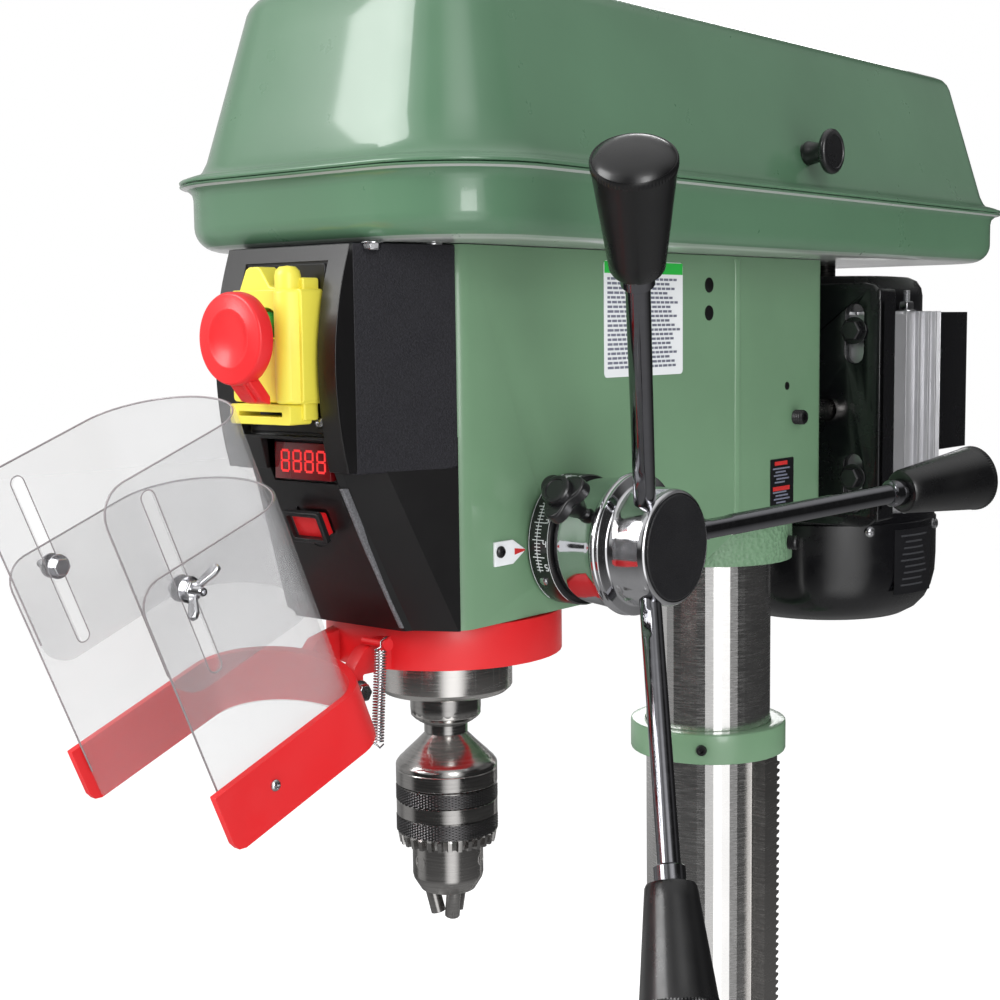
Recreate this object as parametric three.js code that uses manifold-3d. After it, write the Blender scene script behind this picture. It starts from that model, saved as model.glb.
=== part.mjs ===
// Floor-standing drill press, 430 mm (17 inch) class, about 1.67 m tall.
// Millimetres, +Z up. The column's axis is X = Y = 0 and the floor is Z = 0.
// The operator stands at -Y, the motor hangs at +Y and the feed handles are at +X.
import * as THREE from 'three';
import { mergeVertices } from 'three/addons/utils/BufferGeometryUtils.js';
import Module from 'manifold-3d';

const wasm = await Module();
wasm.setup();

// ---------------------------------------------------------------- driving dimensions
const GAP = 0.3; // left between pieces that touch
const DEG = Math.PI / 180;

const SPINDLE_Y = -256; // half of the 430 mm swing plus the column's radius

const BASE = { halfX: 145, front: -345, rear: 120, height: 48, wall: 10, top: 12, corner: 30 };
const COLUMN = { r: 40, bore: 35, bottom: BASE.height + GAP, top: 1530 };
const FLANGE = { r: 86, neck: 54, thickness: 15, height: 100 };
const COLLAR = { r: 50, bottom: 1228, top: 1247 };
const RACK = { depth: 8, halfWidth: 9, bottom: FLANGE.height + BASE.height + 12 };

const HEAD = {
  halfX: 60, front: -310.6, rear: 42, bottom: 1357, rearBottom: 1380, top: 1540,
  sleeveR: 53.3, sleeveBottom: 1353, corner: 9,
};
const QUILL = { r: 24, bore: 8.9, bottom: 1312, top: 1500, endR: 35.5, endTop: 1356.4, rackOffset: 15.2 };
const SPINDLE = { r: 8.5, noseR: 18.5, noseBottom: 1297, top: 1634 };
const CHUCK = { top: 1296.7, bodyTop: 1289, shoulder: 1271, sleeveTop: 1262, teeth: 1230.5, bottom: 1204 };

const FEED = { y: -228, z: 1393.5, pinionR: 12.5, face: HEAD.halfX + 0.8 };
const HANDLE = {
  lean: 20.4 * DEG, first: 5.1 * DEG, originX: 109, originZ: FEED.z + 2, rodR: 5.4, rodStart: 20,
  knobStart: 168, knobEnd: 227, knobSmallR: 12, knobBigR: 17.5,
};

const PAN = {
  halfX: 105, front: -357, rear: 217, bottom: HEAD.top + GAP, rim: 1573, lip: 6, sheet: 2.5,
  frontCorner: 54, rearCorner: 36, foot: 12,
};
const PULLEY = { bottom: 1549, step: 14, groove: 7 };
const SPINDLE_STEPS = [30, 38, 46, 54];
const IDLER_STEPS = [56, 48, 40, 32];
const MOTOR_STEPS = [24, 31, 37, 43];
const IDLER_Y = -62;
const MOTOR = { y: 150, r: 80, bottom: 1296, bodyBottom: 1373, bodyTop: 1508, top: 1532, bellR: 67 };
const PLATE = { y: 62, thickness: 6, halfX: 88, bottom: 1370, top: 1526 };
const SLIDE_BAR = { x: 50, z: 1445, r: 7 };

const GUARD = {
  ringR: 61.7, ringBottom: 1334.3, ringTop: 1356.2, hingeY: -79, hingeZ: 1327,
  turned: -4.5 * DEG, raised: 22.4 * DEG, halfWidth: 58.4, band: 29.4, thickness: 4, reach: 108, bend: 29,
  sheet: 2.2, shieldTop: 125, slideBottom: 70, slideTop: 168,
};

const TABLE = { top: 800, r: 178, thickness: 16, stemR: 25, boreR: 15.5, tiltBelow: 74 };
const BRACKET = { r: 56, bottom: 684, top: 795, faceY: -88, tiltR: 40 };
const CRANK = { y: 0, z: 716, shaftR: 7, armX: 130, armLength: 110 };

// ---------------------------------------------------------------- materials
const finish = (color, roughness, metalness) =>
  new THREE.MeshStandardMaterial({ color, roughness, metalness });
const greenPaint = finish(0x6f9a75, 0.35, 0);
const redPlastic = finish(0xd9262c, 0.4, 0);
const yellowPlastic = finish(0xe9dc3e, 0.45, 0);
const greenPlastic = finish(0x2f8f4a, 0.4, 0);
const blackPlastic = finish(0x1d1c20, 0.6, 0);
const blackPaint = finish(0x121214, 0.3, 0);
const castIron = finish(0x76777a, 0.5, 0.8);
const steel = finish(0x9a9894, 0.35, 1);
const darkSteel = finish(0x3a3a3d, 0.4, 1);
const chrome = finish(0xd8d8dc, 0.08, 1);
const aluminium = finish(0xb4b6ba, 0.4, 1);
const rubber = finish(0x202020, 0.8, 0);
const clearPlastic = new THREE.MeshStandardMaterial({
  color: 0xdfe4e6, roughness: 0.05, metalness: 0, transparent: true, opacity: 0.3,
});

// ---------------------------------------------------------------- geometry helpers
function toSolid(geometry) {
  const bare = geometry.clone();
  bare.deleteAttribute('normal');
  bare.deleteAttribute('uv');
  const merged = mergeVertices(bare, 1e-4);
  return new wasm.Manifold(new wasm.Mesh({
    numProp: 3,
    vertProperties: new Float32Array(merged.attributes.position.array),
    triVerts: new Uint32Array(merged.index.array),
  }));
}

function toGeometry(solid) {
  const mesh = solid.getMesh();
  const geometry = new THREE.BufferGeometry();
  geometry.setAttribute('position', new THREE.BufferAttribute(mesh.vertProperties, 3));
  geometry.setIndex(new THREE.BufferAttribute(mesh.triVerts, 1));
  geometry.computeVertexNormals();
  return geometry;
}

function cut(geometry, ...tools) {
  return toGeometry(tools.reduce((solid, tool) => solid.subtract(toSolid(tool)), toSolid(geometry)));
}

function join(first, ...others) {
  return toGeometry(others.reduce((solid, piece) => solid.add(toSolid(piece)), toSolid(first)));
}

function common(a, b) {
  return toGeometry(toSolid(a).intersect(toSolid(b)));
}

// a box from its low corner to its high corner
function box(x0, y0, z0, x1, y1, z1) {
  return new THREE.BoxGeometry(x1 - x0, y1 - y0, z1 - z0)
    .translate((x0 + x1) / 2, (y0 + y1) / 2, (z0 + z1) / 2);
}

// a cylinder standing on z0, with its top at z1
function rod(r, z0, z1, x = 0, y = 0, sides = 32) {
  return new THREE.CylinderGeometry(r, r, z1 - z0, sides)
    .rotateX(Math.PI / 2).translate(x, y, (z0 + z1) / 2);
}

// cylinders lying along X or Y
function rodX(r, x0, x1, y, z, sides = 32) {
  return new THREE.CylinderGeometry(r, r, x1 - x0, sides)
    .rotateZ(Math.PI / 2).translate((x0 + x1) / 2, y, z);
}
function rodY(r, y0, y1, x, z, sides = 32) {
  return new THREE.CylinderGeometry(r, r, y1 - y0, sides).translate(x, (y0 + y1) / 2, z);
}

// a profile of [radius, height] pairs turned about Z
function turned(profile, sides = 32) {
  return new THREE.LatheGeometry(profile.map(([r, z]) => new THREE.Vector2(r, z)), sides)
    .rotateX(Math.PI / 2);
}

// turned() needs its profile to close: a ring's profile ends where it starts
function turnedRing(profile, sides = 32) {
  return turned([...profile, profile[0]], sides);
}

// the same profile lying along +X, with heights measured along X
function turnedX(profile, sides = 32) {
  return turned(profile, sides).rotateY(Math.PI / 2);
}

function ring(outer, inner, z0, z1, sides = 40) {
  return turnedRing([[inner, z0], [outer, z0], [outer, z1], [inner, z1]], sides);
}

// a rectangle with round corners as a list of [x, y] points, counter-clockwise
function roundedRect(x0, y0, x1, y1, radius, steps = 6, farRadius = radius) {
  const corners = [[x1 - radius, y0 + radius, -90, radius], [x1 - farRadius, y1 - farRadius, 0, farRadius],
    [x0 + farRadius, y1 - farRadius, 90, farRadius], [x0 + radius, y0 + radius, 180, radius]];
  return corners.flatMap(([cx, cy, start, r]) => Array.from({ length: steps + 1 }, (_, i) => {
    const a = (start + (90 * i) / steps) * DEG;
    return [cx + r * Math.cos(a), cy + r * Math.sin(a)];
  }));
}

const toShape = (points) => new THREE.Shape(points.map(([x, y]) => new THREE.Vector2(x, y)));

// an outline of [x, y] points extruded from z0 to z1, with optional holes
function slab(outline, z0, z1, holes = []) {
  const shape = toShape(outline);
  shape.holes = holes.map((hole) => new THREE.Path(hole.map(([x, y]) => new THREE.Vector2(x, y))));
  return new THREE.ExtrudeGeometry(shape, { depth: z1 - z0, bevelEnabled: false, curveSegments: 8 })
    .translate(0, 0, z0);
}

// an outline of [y, z] points extruded from x0 to x1
function slabX(outline, x0, x1) {
  return slab(outline, x0, x1).applyMatrix4(new THREE.Matrix4().set(
    0, 0, 1, 0, 1, 0, 0, 0, 0, 1, 0, 0, 0, 0, 0, 1));
}

// an outline of [x, z] points extruded from y0 to y1
function slabY(outline, y0, y1) {
  return slab(outline, -y1, -y0).applyMatrix4(new THREE.Matrix4().set(
    1, 0, 0, 0, 0, 0, -1, 0, 0, 1, 0, 0, 0, 0, 0, 1));
}

function roundSlot(x, y, halfX, halfY, steps = 4) {
  const r = Math.min(halfX, halfY);
  return roundedRect(x - halfX, y - halfY, x + halfX, y + halfY, r - 0.01, steps);
}

// rings of equal point counts, each [[x, y, z], ...] and convex, skinned into a closed solid
function loft(rings) {
  const count = rings[0].length;
  const positions = rings.flat(2);
  const index = [];
  for (let k = 0; k + 1 < rings.length; k += 1) {
    for (let i = 0; i < count; i += 1) {
      const j = (i + 1) % count;
      const [a, b, c, d] = [k * count + i, k * count + j, (k + 1) * count + j, (k + 1) * count + i];
      index.push(a, b, c, a, c, d);
    }
  }
  const last = (rings.length - 1) * count;
  for (let i = 1; i + 1 < count; i += 1) {
    index.push(0, i + 1, i, last, last + i, last + i + 1);
  }
  const geometry = new THREE.BufferGeometry();
  geometry.setAttribute('position', new THREE.Float32BufferAttribute(positions, 3));
  geometry.setIndex(index);
  geometry.computeVertexNormals();
  return geometry;
}

const lift = (outline, z) => outline.map(([x, y]) => [x, y, z]);

function mesh(name, geometry, material) {
  const piece = new THREE.Mesh(geometry, material);
  piece.name = name;
  return piece;
}

function group(...children) {
  const g = new THREE.Group();
  g.add(...children);
  return g;
}

// ---------------------------------------------------------------- stand
function makeBase() {
  const { halfX, front, rear, height, wall, top, corner } = BASE;
  const outline = roundedRect(-halfX, front, halfX, rear, corner);
  const inner = roundedRect(-halfX + wall, front + wall, halfX - wall, rear - wall, corner - wall);
  const slots = [-62, 62].map((x) => roundSlot(x, -225, 8, 75));
  const footBolts = [[-1, front + 38], [1, front + 38], [-1, rear - 38], [1, rear - 38]]
    .map(([side, y]) => roundSlot(side * (halfX - 30), y, 7, 7, 3));
  return join(
    slab(outline, height - top, height, [...slots, ...footBolts]),
    slab(outline, 0, height - top + 1, [inner]),
    rod(92, 0, height - 1, 0, 0, 40),
    box(-8, front + 2, 12, 8, -60, height - 2),
    box(-halfX + 2, -112, 12, halfX - 2, -100, height - 2),
  );
}

function makeFlange() {
  const { r, neck, thickness, height } = FLANGE;
  const z = BASE.height + GAP;
  const body = turnedRing([[COLUMN.r + GAP, z], [r, z], [r, z + thickness], [neck + 8, z + thickness + 6],
    [neck, z + thickness + 20], [neck - 4, z + height], [COLUMN.r + GAP, z + height]], 40);
  const bolts = [45, 135, 225, 315].map((a) =>
    rod(6.5, z - 1, z + thickness + 12, 72 * Math.cos(a * DEG), 72 * Math.sin(a * DEG), 12));
  return cut(body, ...bolts);
}

function makeRack() {
  const inner = COLUMN.r + GAP;
  const { depth, halfWidth, bottom } = RACK;
  const top = COLLAR.bottom - GAP;
  const bar = box(inner - 2, -halfWidth, bottom, inner + depth, halfWidth, top);
  return cut(bar, rod(inner, bottom - 1, top + 1, 0, 0, 48));
}

const stand = group(
  mesh('base', makeBase(), greenPaint),
  mesh('column_flange', makeFlange(), greenPaint),
  mesh('column', ring(COLUMN.r, COLUMN.bore, COLUMN.bottom, COLUMN.top, 48), steel),
  mesh('rack_collar', ring(COLLAR.r, COLUMN.r + GAP, COLLAR.bottom, COLLAR.top, 40), greenPaint),
  mesh('rack', makeRack(), steel),
);

// ---------------------------------------------------------------- table and its lift
function makeBracket() {
  const { r, bottom, top, faceY, tiltR } = BRACKET;
  const tiltZ = TABLE.top - TABLE.tiltBelow;
  const bore = COLUMN.r + 0.4;
  const rackNotch = RACK.depth + COLUMN.r + 0.8;
  const body = join(
    rod(r, bottom, top, 0, 0, 40),
    rodY(tiltR, faceY, -20, 0, tiltZ, 32),
    box(20, -26, bottom, 92, 26, bottom + 68),
    box(-76, -18, bottom + 30, -30, 18, bottom + 66),
  );
  return cut(
    body,
    rod(bore, bottom - 1, top + 1, 0, 0, 48),
    box(0, -RACK.halfWidth - 0.5, bottom - 1, rackNotch, RACK.halfWidth + 0.5, top + 1),
    rodX(CRANK.shaftR + GAP, 56, 100, CRANK.y, CRANK.z, 24),
    box(-90, -1.5, bottom + 20, -30, 1.5, bottom + 76),
    rodY(5.3, -30, 30, -64, bottom + 48, 16),
  );
}

function makeSupport() {
  const { faceY, tiltR } = BRACKET;
  const tiltZ = TABLE.top - TABLE.tiltBelow;
  const hubBottom = TABLE.top - TABLE.thickness - 70;
  const hubTop = TABLE.top - TABLE.thickness - GAP;
  const arm = loft([
    [[-30, faceY - 8, tiltZ - 26], [30, faceY - 8, tiltZ - 26], [30, faceY - 8, tiltZ + 26],
      [-30, faceY - 8, tiltZ + 26]],
    [[-22, SPINDLE_Y + 10, hubBottom + 4], [22, SPINDLE_Y + 10, hubBottom + 4],
      [22, SPINDLE_Y + 10, hubTop - 12], [-22, SPINDLE_Y + 10, hubTop - 12]],
  ]);
  const body = join(
    rodY(tiltR, faceY - 14, faceY - GAP, 0, tiltZ, 32),
    arm,
    rod(38, hubBottom, hubTop, 0, SPINDLE_Y, 32),
  );
  return cut(
    body,
    rod(TABLE.stemR + GAP, hubBottom - 1, hubTop + 1, 0, SPINDLE_Y, 32),
    rodX(5.3, 20, 45, SPINDLE_Y, hubBottom + 34, 16),
  );
}

function makeTable() {
  const { top, r, thickness, stemR, boreR } = TABLE;
  const under = top - thickness;
  const plate = turned([[0, under], [r - 10, under], [r, under + 5], [r, top], [r - 9, top],
    [r - 11, top - 4], [r - 18, top - 4], [r - 20, top], [0, top]], 48);
  const rim = ring(r - 4, r - 14, under - 14, under + 2, 48);
  const stem = rod(stemR, under - 66, under + 2, 0, 0, 32);
  const slots = [45, 135, 225, 315].map((a) =>
    slab(roundSlot(0, 0, 50, 8), under - 3, top + 1)
      .translate(95, 0, 0).rotateZ(a * DEG));
  return cut(join(plate, rim, stem), rod(boreR, under - 70, top + 1, 0, 0, 24), ...slots)
    .translate(0, SPINDLE_Y, 0);
}

function makeLockLever() {
  const stud = rodX(5, 0, 22, 0, 0, 16);
  const collar = rodX(9, 22, 36, 0, 0, 16);
  const arm = rod(5, 0, 78, 29, 0, 16);
  const grip = new THREE.SphereGeometry(11, 16, 10).translate(29, 0, 82);
  return join(stud, collar, arm, grip);
}

function makeCrankArm() {
  const { y, z, armX, armLength, shaftR } = CRANK;
  const outline = [...roundSlot(0, -armLength / 2, 14, armLength / 2 + 14, 6)]
    .map(([across, along]) => [y + across, z + along]);
  return cut(slabX(outline, armX, armX + 12), rodX(shaftR + GAP, armX - 1, armX + 9, y, z, 24));
}

const tableZ = TABLE.top - TABLE.thickness;
const columnLock = mesh('column_lock_lever', makeLockLever(), blackPaint);
columnLock.position.set(-64, 12, BRACKET.bottom + 48);
columnLock.rotation.set(0, 0, Math.PI / 2);
const tableLock = mesh('table_lock_lever', makeLockLever(), blackPaint);
tableLock.position.set(TABLE.stemR + 1, SPINDLE_Y, tableZ - 36);
tableLock.rotation.set(-110 * DEG, 0, 0);

const tableAssembly = group(
  mesh('table_bracket', makeBracket(), greenPaint),
  mesh('table_support', makeSupport(), greenPaint),
  mesh('table', makeTable(), castIron),
  mesh('crank_shaft', rodX(CRANK.shaftR, 58, CRANK.armX + 8, CRANK.y, CRANK.z, 24), steel),
  mesh('crank_arm', makeCrankArm(), greenPaint),
  mesh('crank_grip', turnedX([[0, 0], [7, 0], [9, 4], [12, 30], [13, 60], [9, 72], [0, 74]], 24)
    .translate(CRANK.armX + 12 + GAP, CRANK.y, CRANK.z - CRANK.armLength), blackPlastic),
  columnLock,
  tableLock,
);

// ---------------------------------------------------------------- head
function makeHead() {
  const { halfX, front, rear, bottom, rearBottom, top, sleeveR, sleeveBottom, corner } = HEAD;
  const plan = slab(roundedRect(-halfX, front, halfX, rear, corner, 4), sleeveBottom - 1, top);
  const profile = slabX([[front - 1, bottom], [-120, bottom], [-62, rearBottom], [rear + 1, rearBottom],
    [rear + 1, top], [front - 1, top]], -halfX - 1, halfX + 1);
  const body = join(common(plan, profile), rod(sleeveR, sleeveBottom, top - 10, 0, 0, 40));
  const pocket = box(-46, -196, bottom + 10, 46, -52, top + 1);
  const bars = [-1, 1].map((side) =>
    rodY(SLIDE_BAR.r + GAP, -66, rear + 1, side * SLIDE_BAR.x, SLIDE_BAR.z, 20));
  return cut(
    body,
    pocket,
    rod(COLUMN.r + GAP, sleeveBottom - 1, top + 1, 0, 0, 48),
    rod(QUILL.r + GAP, bottom - 1, top + 1, 0, SPINDLE_Y, 32),
    rodX(FEED.pinionR + GAP, -halfX - 1, halfX + 1, FEED.y, FEED.z, 32),
    ...bars,
  );
}

// the front panel's outline at one height: a flat face between two slanting cheeks
function panelOutline(halfFace, faceY, z, inset = 0) {
  const back = HEAD.front - GAP + (inset ? 5 : 0);
  const side = HEAD.halfX - 0.5 - inset;
  return [[-side, back, z], [-halfFace + inset * 0.6, faceY + inset, z],
    [halfFace - inset * 0.6, faceY + inset, z], [side, back, z]];
}

const PANEL_FACE = [ // height, half width of the face, Y of the face
  [HEAD.bottom + GAP, 38, -327], [1402, 32, -347], [1424, 29, -357], [1436, 40.6, -364],
  [1475, 40.6, -371], [1499, 40.6, -369], [1520, 40.6, -365], [HEAD.top - GAP, 40.6, -360],
];
const SWITCH_PLATE_Y = -363;
const ROCKER = { x: 4.3, y: -353.4, z: 1409.4, halfX: 9.5, halfZ: 5.5, thickness: 5, tilt: 24.4 * DEG };

function makePanel() {
  const wall = 3;
  const outside = loft(PANEL_FACE.map(([z, half, y]) => panelOutline(half, y, z)));
  const inside = loft(PANEL_FACE.slice(1, -1).map(([z, half, y]) => panelOutline(half, y, z, wall)));
  const recess = box(-26, -380, 1453, 29, SWITCH_PLATE_Y, 1532);
  const behind = box(-28, SWITCH_PLATE_Y, 1449, 31, SWITCH_PLATE_Y + 3, 1534);
  const window = box(-12, -380, 1431, 26, -352, 1449);
  const { x, y, z, halfX, halfZ, thickness, tilt } = ROCKER;
  const well = box(-halfX - 1, -thickness, -halfZ - 1, halfX + 1, thickness, halfZ + 1)
    .rotateX(tilt).translate(x, y, z);
  return cut(join(cut(outside, inside), common(behind, outside)), recess, window, well);
}

function makeSwitchBody() {
  const back = SWITCH_PLATE_Y - GAP;
  const front = back - 17;
  const housing = slabY(roundedRect(-21, 1468, 26.2, 1520, 3, 3), front, back);
  const crown = slabY([[-15, 1517], [7, 1517], [2, 1528], [-9, 1528]], front, back - 3);
  const rib = rod(6.5, 1468, 1528, 19.7, front + 3, 16);
  const tab = box(-17, front - 4, 1458.6, 27, back - 8, 1468);
  const tabSlot = box(-12, front - 6, 1461.6, 22, front + 4, 1464);
  const well = rodY(8, front - 2, front + 10, 2.5, 1503, 20);
  return cut(join(housing, crown, rib, tab), tabSlot, well);
}

function makeStopPaddle() {
  const front = SWITCH_PLATE_Y - 34;
  const disc = rodY(20.5, front, front + 6, 7.5, 1497.5, 32);
  const strap = slabX([[front + 2, 1480], [front + 2, 1476], [front + 7, 1468.5], [front + 11, 1468.5],
    [front + 6, 1480]], 2, 13);
  return join(disc, strap);
}

const head = group(
  mesh('head_casting', makeHead(), greenPaint),
  mesh('front_panel', makePanel(), blackPlastic),
  mesh('switch_body', makeSwitchBody(), yellowPlastic),
  mesh('stop_paddle', makeStopPaddle(), redPlastic),
  mesh('start_button', rodY(6.5, SWITCH_PLATE_Y - 21, SWITCH_PLATE_Y - 9, 2.5, 1503, 20), greenPlastic),
  mesh('rpm_display', box(-11.6, -361.6, 1431.4, 25.6, -352.4, 1448.6), blackPlastic),
);

// ---------------------------------------------------------------- belt drive
// the belt guard's outline, a given distance inside the pan's wall
const guardOutline = (inset, z) => lift(roundedRect(-PAN.halfX + inset, PAN.front + inset,
  PAN.halfX - inset, PAN.rear - inset, PAN.frontCorner - inset * 0.7, 6, PAN.rearCorner - inset * 0.7), z);

// the pan's rounded foot, from its flat floor up to its wall, inset by the sheet when seen from inside
function panShell(top, inset) {
  const { bottom, foot } = PAN;
  const arc = [90, 60, 30, 0].map((a) => guardOutline(inset + (foot - inset) * (1 - Math.cos(a * DEG)),
    bottom + inset + (foot - inset) * (1 - Math.sin(a * DEG))));
  return loft([...arc, guardOutline(inset, top)]);
}

function makePan() {
  const { bottom, rim, lip, sheet } = PAN;
  const flange = loft([guardOutline(-lip, rim - sheet), guardOutline(-lip, rim)]);
  return cut(
    join(panShell(rim, 0), flange),
    panShell(rim + 1, sheet),
    rod(16, bottom - 1, bottom + 4, 0, SPINDLE_Y, 24),
    rod(8.4, bottom - 1, bottom + 4, 0, IDLER_Y, 20),
    slab(roundSlot(0, MOTOR.y, 14, 24), bottom - 1, bottom + 4),
  );
}

// the lid's side from its rim to its top: inset from the rim, height above it
const LID_PROFILE = [[0, 0], [0.8, 2], [6, 3.5], [10.5, 7.5], [13, 11], [32, 84], [38, 91], [50, 93]];

function makeLid() {
  const { rim, sheet, lip } = PAN;
  const outside = loft(LID_PROFILE.map(([inset, up]) => guardOutline(inset - lip, rim + GAP + up)));
  const inside = loft([guardOutline(sheet - lip, rim - 1), ...LID_PROFILE.slice(2)
    .map(([inset, up]) => guardOutline(inset - lip + sheet, rim + GAP + up - sheet))]);
  return cut(outside, inside);
}

const LID_KNOB = { x: 96.6, y: -48, z: 1597 };

// a stepped V pulley, its smallest or largest step first
function stepPulley(steps, boreR) {
  const { bottom, step, groove } = PULLEY;
  const top = bottom + steps.length * step;
  const grooves = steps.flatMap((r, i) => {
    const z = bottom + i * step;
    return [[r, z], [r - groove, z + 4], [r - groove, z + step - 4], [r, z + step]];
  });
  return turnedRing([[boreR, bottom], ...grooves, [boreR, top]], 24);
}

// a belt round two pulleys whose axes are on X = 0
function makeBelt(r0, y0, r1, y1, level) {
  const mid = PULLEY.bottom + (level + 0.5) * PULLEY.step;
  const lean = Math.asin((r0 - r1) / (y1 - y0));
  const loop = (offset) => {
    const arc = (r, y, from, to) => Array.from({ length: 13 }, (_, i) => {
      const a = from + ((to - from) * i) / 12;
      return [(r + offset) * Math.cos(a), y + (r + offset) * Math.sin(a)];
    });
    return [...arc(r1, y1, lean, Math.PI - lean), ...arc(r0, y0, Math.PI - lean, 2 * Math.PI + lean)];
  };
  return slab(loop(1.5), mid - 2.8, mid + 2.8, [loop(1.2 - PULLEY.groove)]);
}

const frontLevel = 2;
const rearLevel = 0;

function makeIdlerArm() {
  const { bottom, sheet } = PAN;
  const z = bottom + sheet;
  const plate = slab(roundSlot(20, IDLER_Y, 36, 14), z + GAP, z + 4.5);
  return join(plate, rod(8, bottom - 6, PULLEY.bottom + 50, 0, IDLER_Y, 20));
}

function makeSpindlePulley() {
  const sleeve = ring(13.5, 9.2, HEAD.top - 34, PULLEY.bottom + 1, 24);
  return join(stepPulley(SPINDLE_STEPS, 9.2), sleeve);
}

const beltDrive = group(
  mesh('belt_pan', makePan(), greenPaint),
  mesh('belt_lid', makeLid(), greenPaint),
  mesh('lid_knob', turnedX([[0, 0], [6.5, 0], [6.5, 11], [12.3, 13], [12.3, 17], [0, 19]], 20)
    .translate(LID_KNOB.x, LID_KNOB.y, LID_KNOB.z), blackPlastic),
  mesh('spindle_pulley', makeSpindlePulley().translate(0, SPINDLE_Y, 0), aluminium),
  mesh('idler_pulley', stepPulley(IDLER_STEPS, 8.4).translate(0, IDLER_Y, 0), aluminium),
  mesh('idler_arm', makeIdlerArm(), darkSteel),
  mesh('motor_pulley', stepPulley(MOTOR_STEPS, 8.3).translate(0, MOTOR.y, 0), aluminium),
  mesh('belt_front', makeBelt(SPINDLE_STEPS[frontLevel], SPINDLE_Y, IDLER_STEPS[frontLevel], IDLER_Y,
    frontLevel), rubber),
  mesh('belt_rear', makeBelt(IDLER_STEPS[rearLevel], IDLER_Y, MOTOR_STEPS[rearLevel], MOTOR.y,
    rearLevel), rubber),
);

// ---------------------------------------------------------------- motor
function makeMotorBody() {
  const { r, bodyBottom, bodyTop } = MOTOR;
  const ribs = 40;
  const ribHeight = 3;
  const ribHalf = 0.9 * DEG;
  const outline = Array.from({ length: ribs }, (_, i) => (2 * Math.PI * i) / ribs).flatMap((a) =>
    [[a - ribHalf, r - ribHeight], [a - ribHalf, r], [a + ribHalf, r], [a + ribHalf, r - ribHeight]]
      .map(([angle, reach]) => [reach * Math.cos(angle), MOTOR.y + reach * Math.sin(angle)]));
  const feet = [-1, 1].map((side) => box(side * 70 - 9, PLATE.y + PLATE.thickness + GAP, bodyBottom + 4,
    side * 70 + 9, MOTOR.y - 34, bodyTop - 2));
  const body = join(slab(outline, bodyBottom, bodyTop), ...feet);
  return cut(body, rod(62, bodyBottom - 1, bodyTop + 1, 0, MOTOR.y, 32));
}

function makeMotorBells() {
  const { y, r, bottom, bodyBottom, bodyTop, top, bellR } = MOTOR;
  const shaft = 8.6;
  const lower = turnedRing([[shaft, bottom], [48, bottom + 1], [66, bottom + 10], [76, bottom + 26],
    [r - 1, bottom + 46], [r - 1, bodyBottom - GAP], [r - 8, bodyBottom - GAP], [r - 8, bottom + 40],
    [56, bottom + 12], [shaft, bottom + 6]], 36);
  const upper = turnedRing([[shaft, bodyTop + 12], [58, bodyTop + 12], [60, bodyTop + GAP],
    [bellR, bodyTop + GAP], [bellR, top - 12], [bellR - 5, top - 3], [bellR - 14, top], [shaft, top]], 36);
  return [lower.translate(0, y, 0), upper.translate(0, y, 0)];
}

function makeMotorPlate() {
  const { y, thickness, halfX, bottom, top } = PLATE;
  const outline = roundedRect(-halfX, bottom, halfX, top, 12, 3);
  const plate = slabY(outline, y, y + thickness);
  const slots = [-1, 1].flatMap((side) => [[1475, 1513], [1379, 1417]].map(([z0, z1]) =>
    slabY(roundSlot(side * 70, (z0 + z1) / 2, 6.3, (z1 - z0) / 2), y - 1, y + thickness + 1)));
  const barHoles = [-1, 1].map((side) =>
    rodY(SLIDE_BAR.r + GAP, y - 1, y + 3, side * SLIDE_BAR.x, SLIDE_BAR.z, 20));
  return cut(plate, ...slots, ...barHoles);
}

// the wiring box, open towards the motor's body
function makeMotorBox() {
  const { y, r, bodyBottom, bodyTop } = MOTOR;
  const halfX = 61;
  const wall = 4;
  const back = y + r + 28;
  const bottom = bodyBottom + 37;
  const top = bodyTop - GAP;
  return cut(
    box(-halfX, y + 46, bottom, halfX, back, top),
    rod(r + GAP, bottom - 1, top + 1, 0, y, 48),
    box(-halfX + wall, y + 58, bottom + wall, halfX - wall, back - wall, top - wall),
  );
}

function makeRotor() {
  const { y, bottom, bodyBottom, bodyTop } = MOTOR;
  return turned([[0, bottom - 2], [8, bottom - 2], [8, bodyBottom + 8], [44, bodyBottom + 8],
    [44, bodyTop - 8], [8, bodyTop - 8], [8, PULLEY.bottom + 52], [0, PULLEY.bottom + 52]], 28)
    .translate(0, y, 0);
}

const [lowerBell, upperBell] = makeMotorBells();
const slideBar = (side) => rodY(SLIDE_BAR.r, -40, PLATE.y + 2.6, side * SLIDE_BAR.x, SLIDE_BAR.z, 20);

const motor = group(
  mesh('motor_body', makeMotorBody(), aluminium),
  mesh('motor_bottom_bell', lowerBell, blackPaint),
  mesh('motor_top_bell', upperBell, blackPaint),
  mesh('motor_rotor', makeRotor(), steel),
  mesh('motor_box', makeMotorBox(), blackPaint),
  mesh('motor_plate', makeMotorPlate(), blackPaint),
  mesh('slide_bar_left', slideBar(-1), steel),
  mesh('slide_bar_right', slideBar(1), steel),
);

// ---------------------------------------------------------------- quill, spindle and chuck
function makeQuill() {
  const { r, bore, bottom, top, endR, endTop, rackOffset } = QUILL;
  const body = turnedRing([[bore, bottom], [endR - 3, bottom], [endR, bottom + 3], [endR, endTop],
    [r, endTop], [r, top], [bore, top]], 40);
  return cut(body, box(-r - 1, rackOffset, FEED.z - 18, r + 1, r + 1, top + 1));
}

const spindleProfile = [[0, SPINDLE.noseBottom], [SPINDLE.noseR - 2, SPINDLE.noseBottom],
  [SPINDLE.noseR, SPINDLE.noseBottom + 2], [SPINDLE.noseR, QUILL.bottom - GAP],
  [SPINDLE.r, QUILL.bottom - GAP], [SPINDLE.r, SPINDLE.top], [0, SPINDLE.top]];

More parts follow.
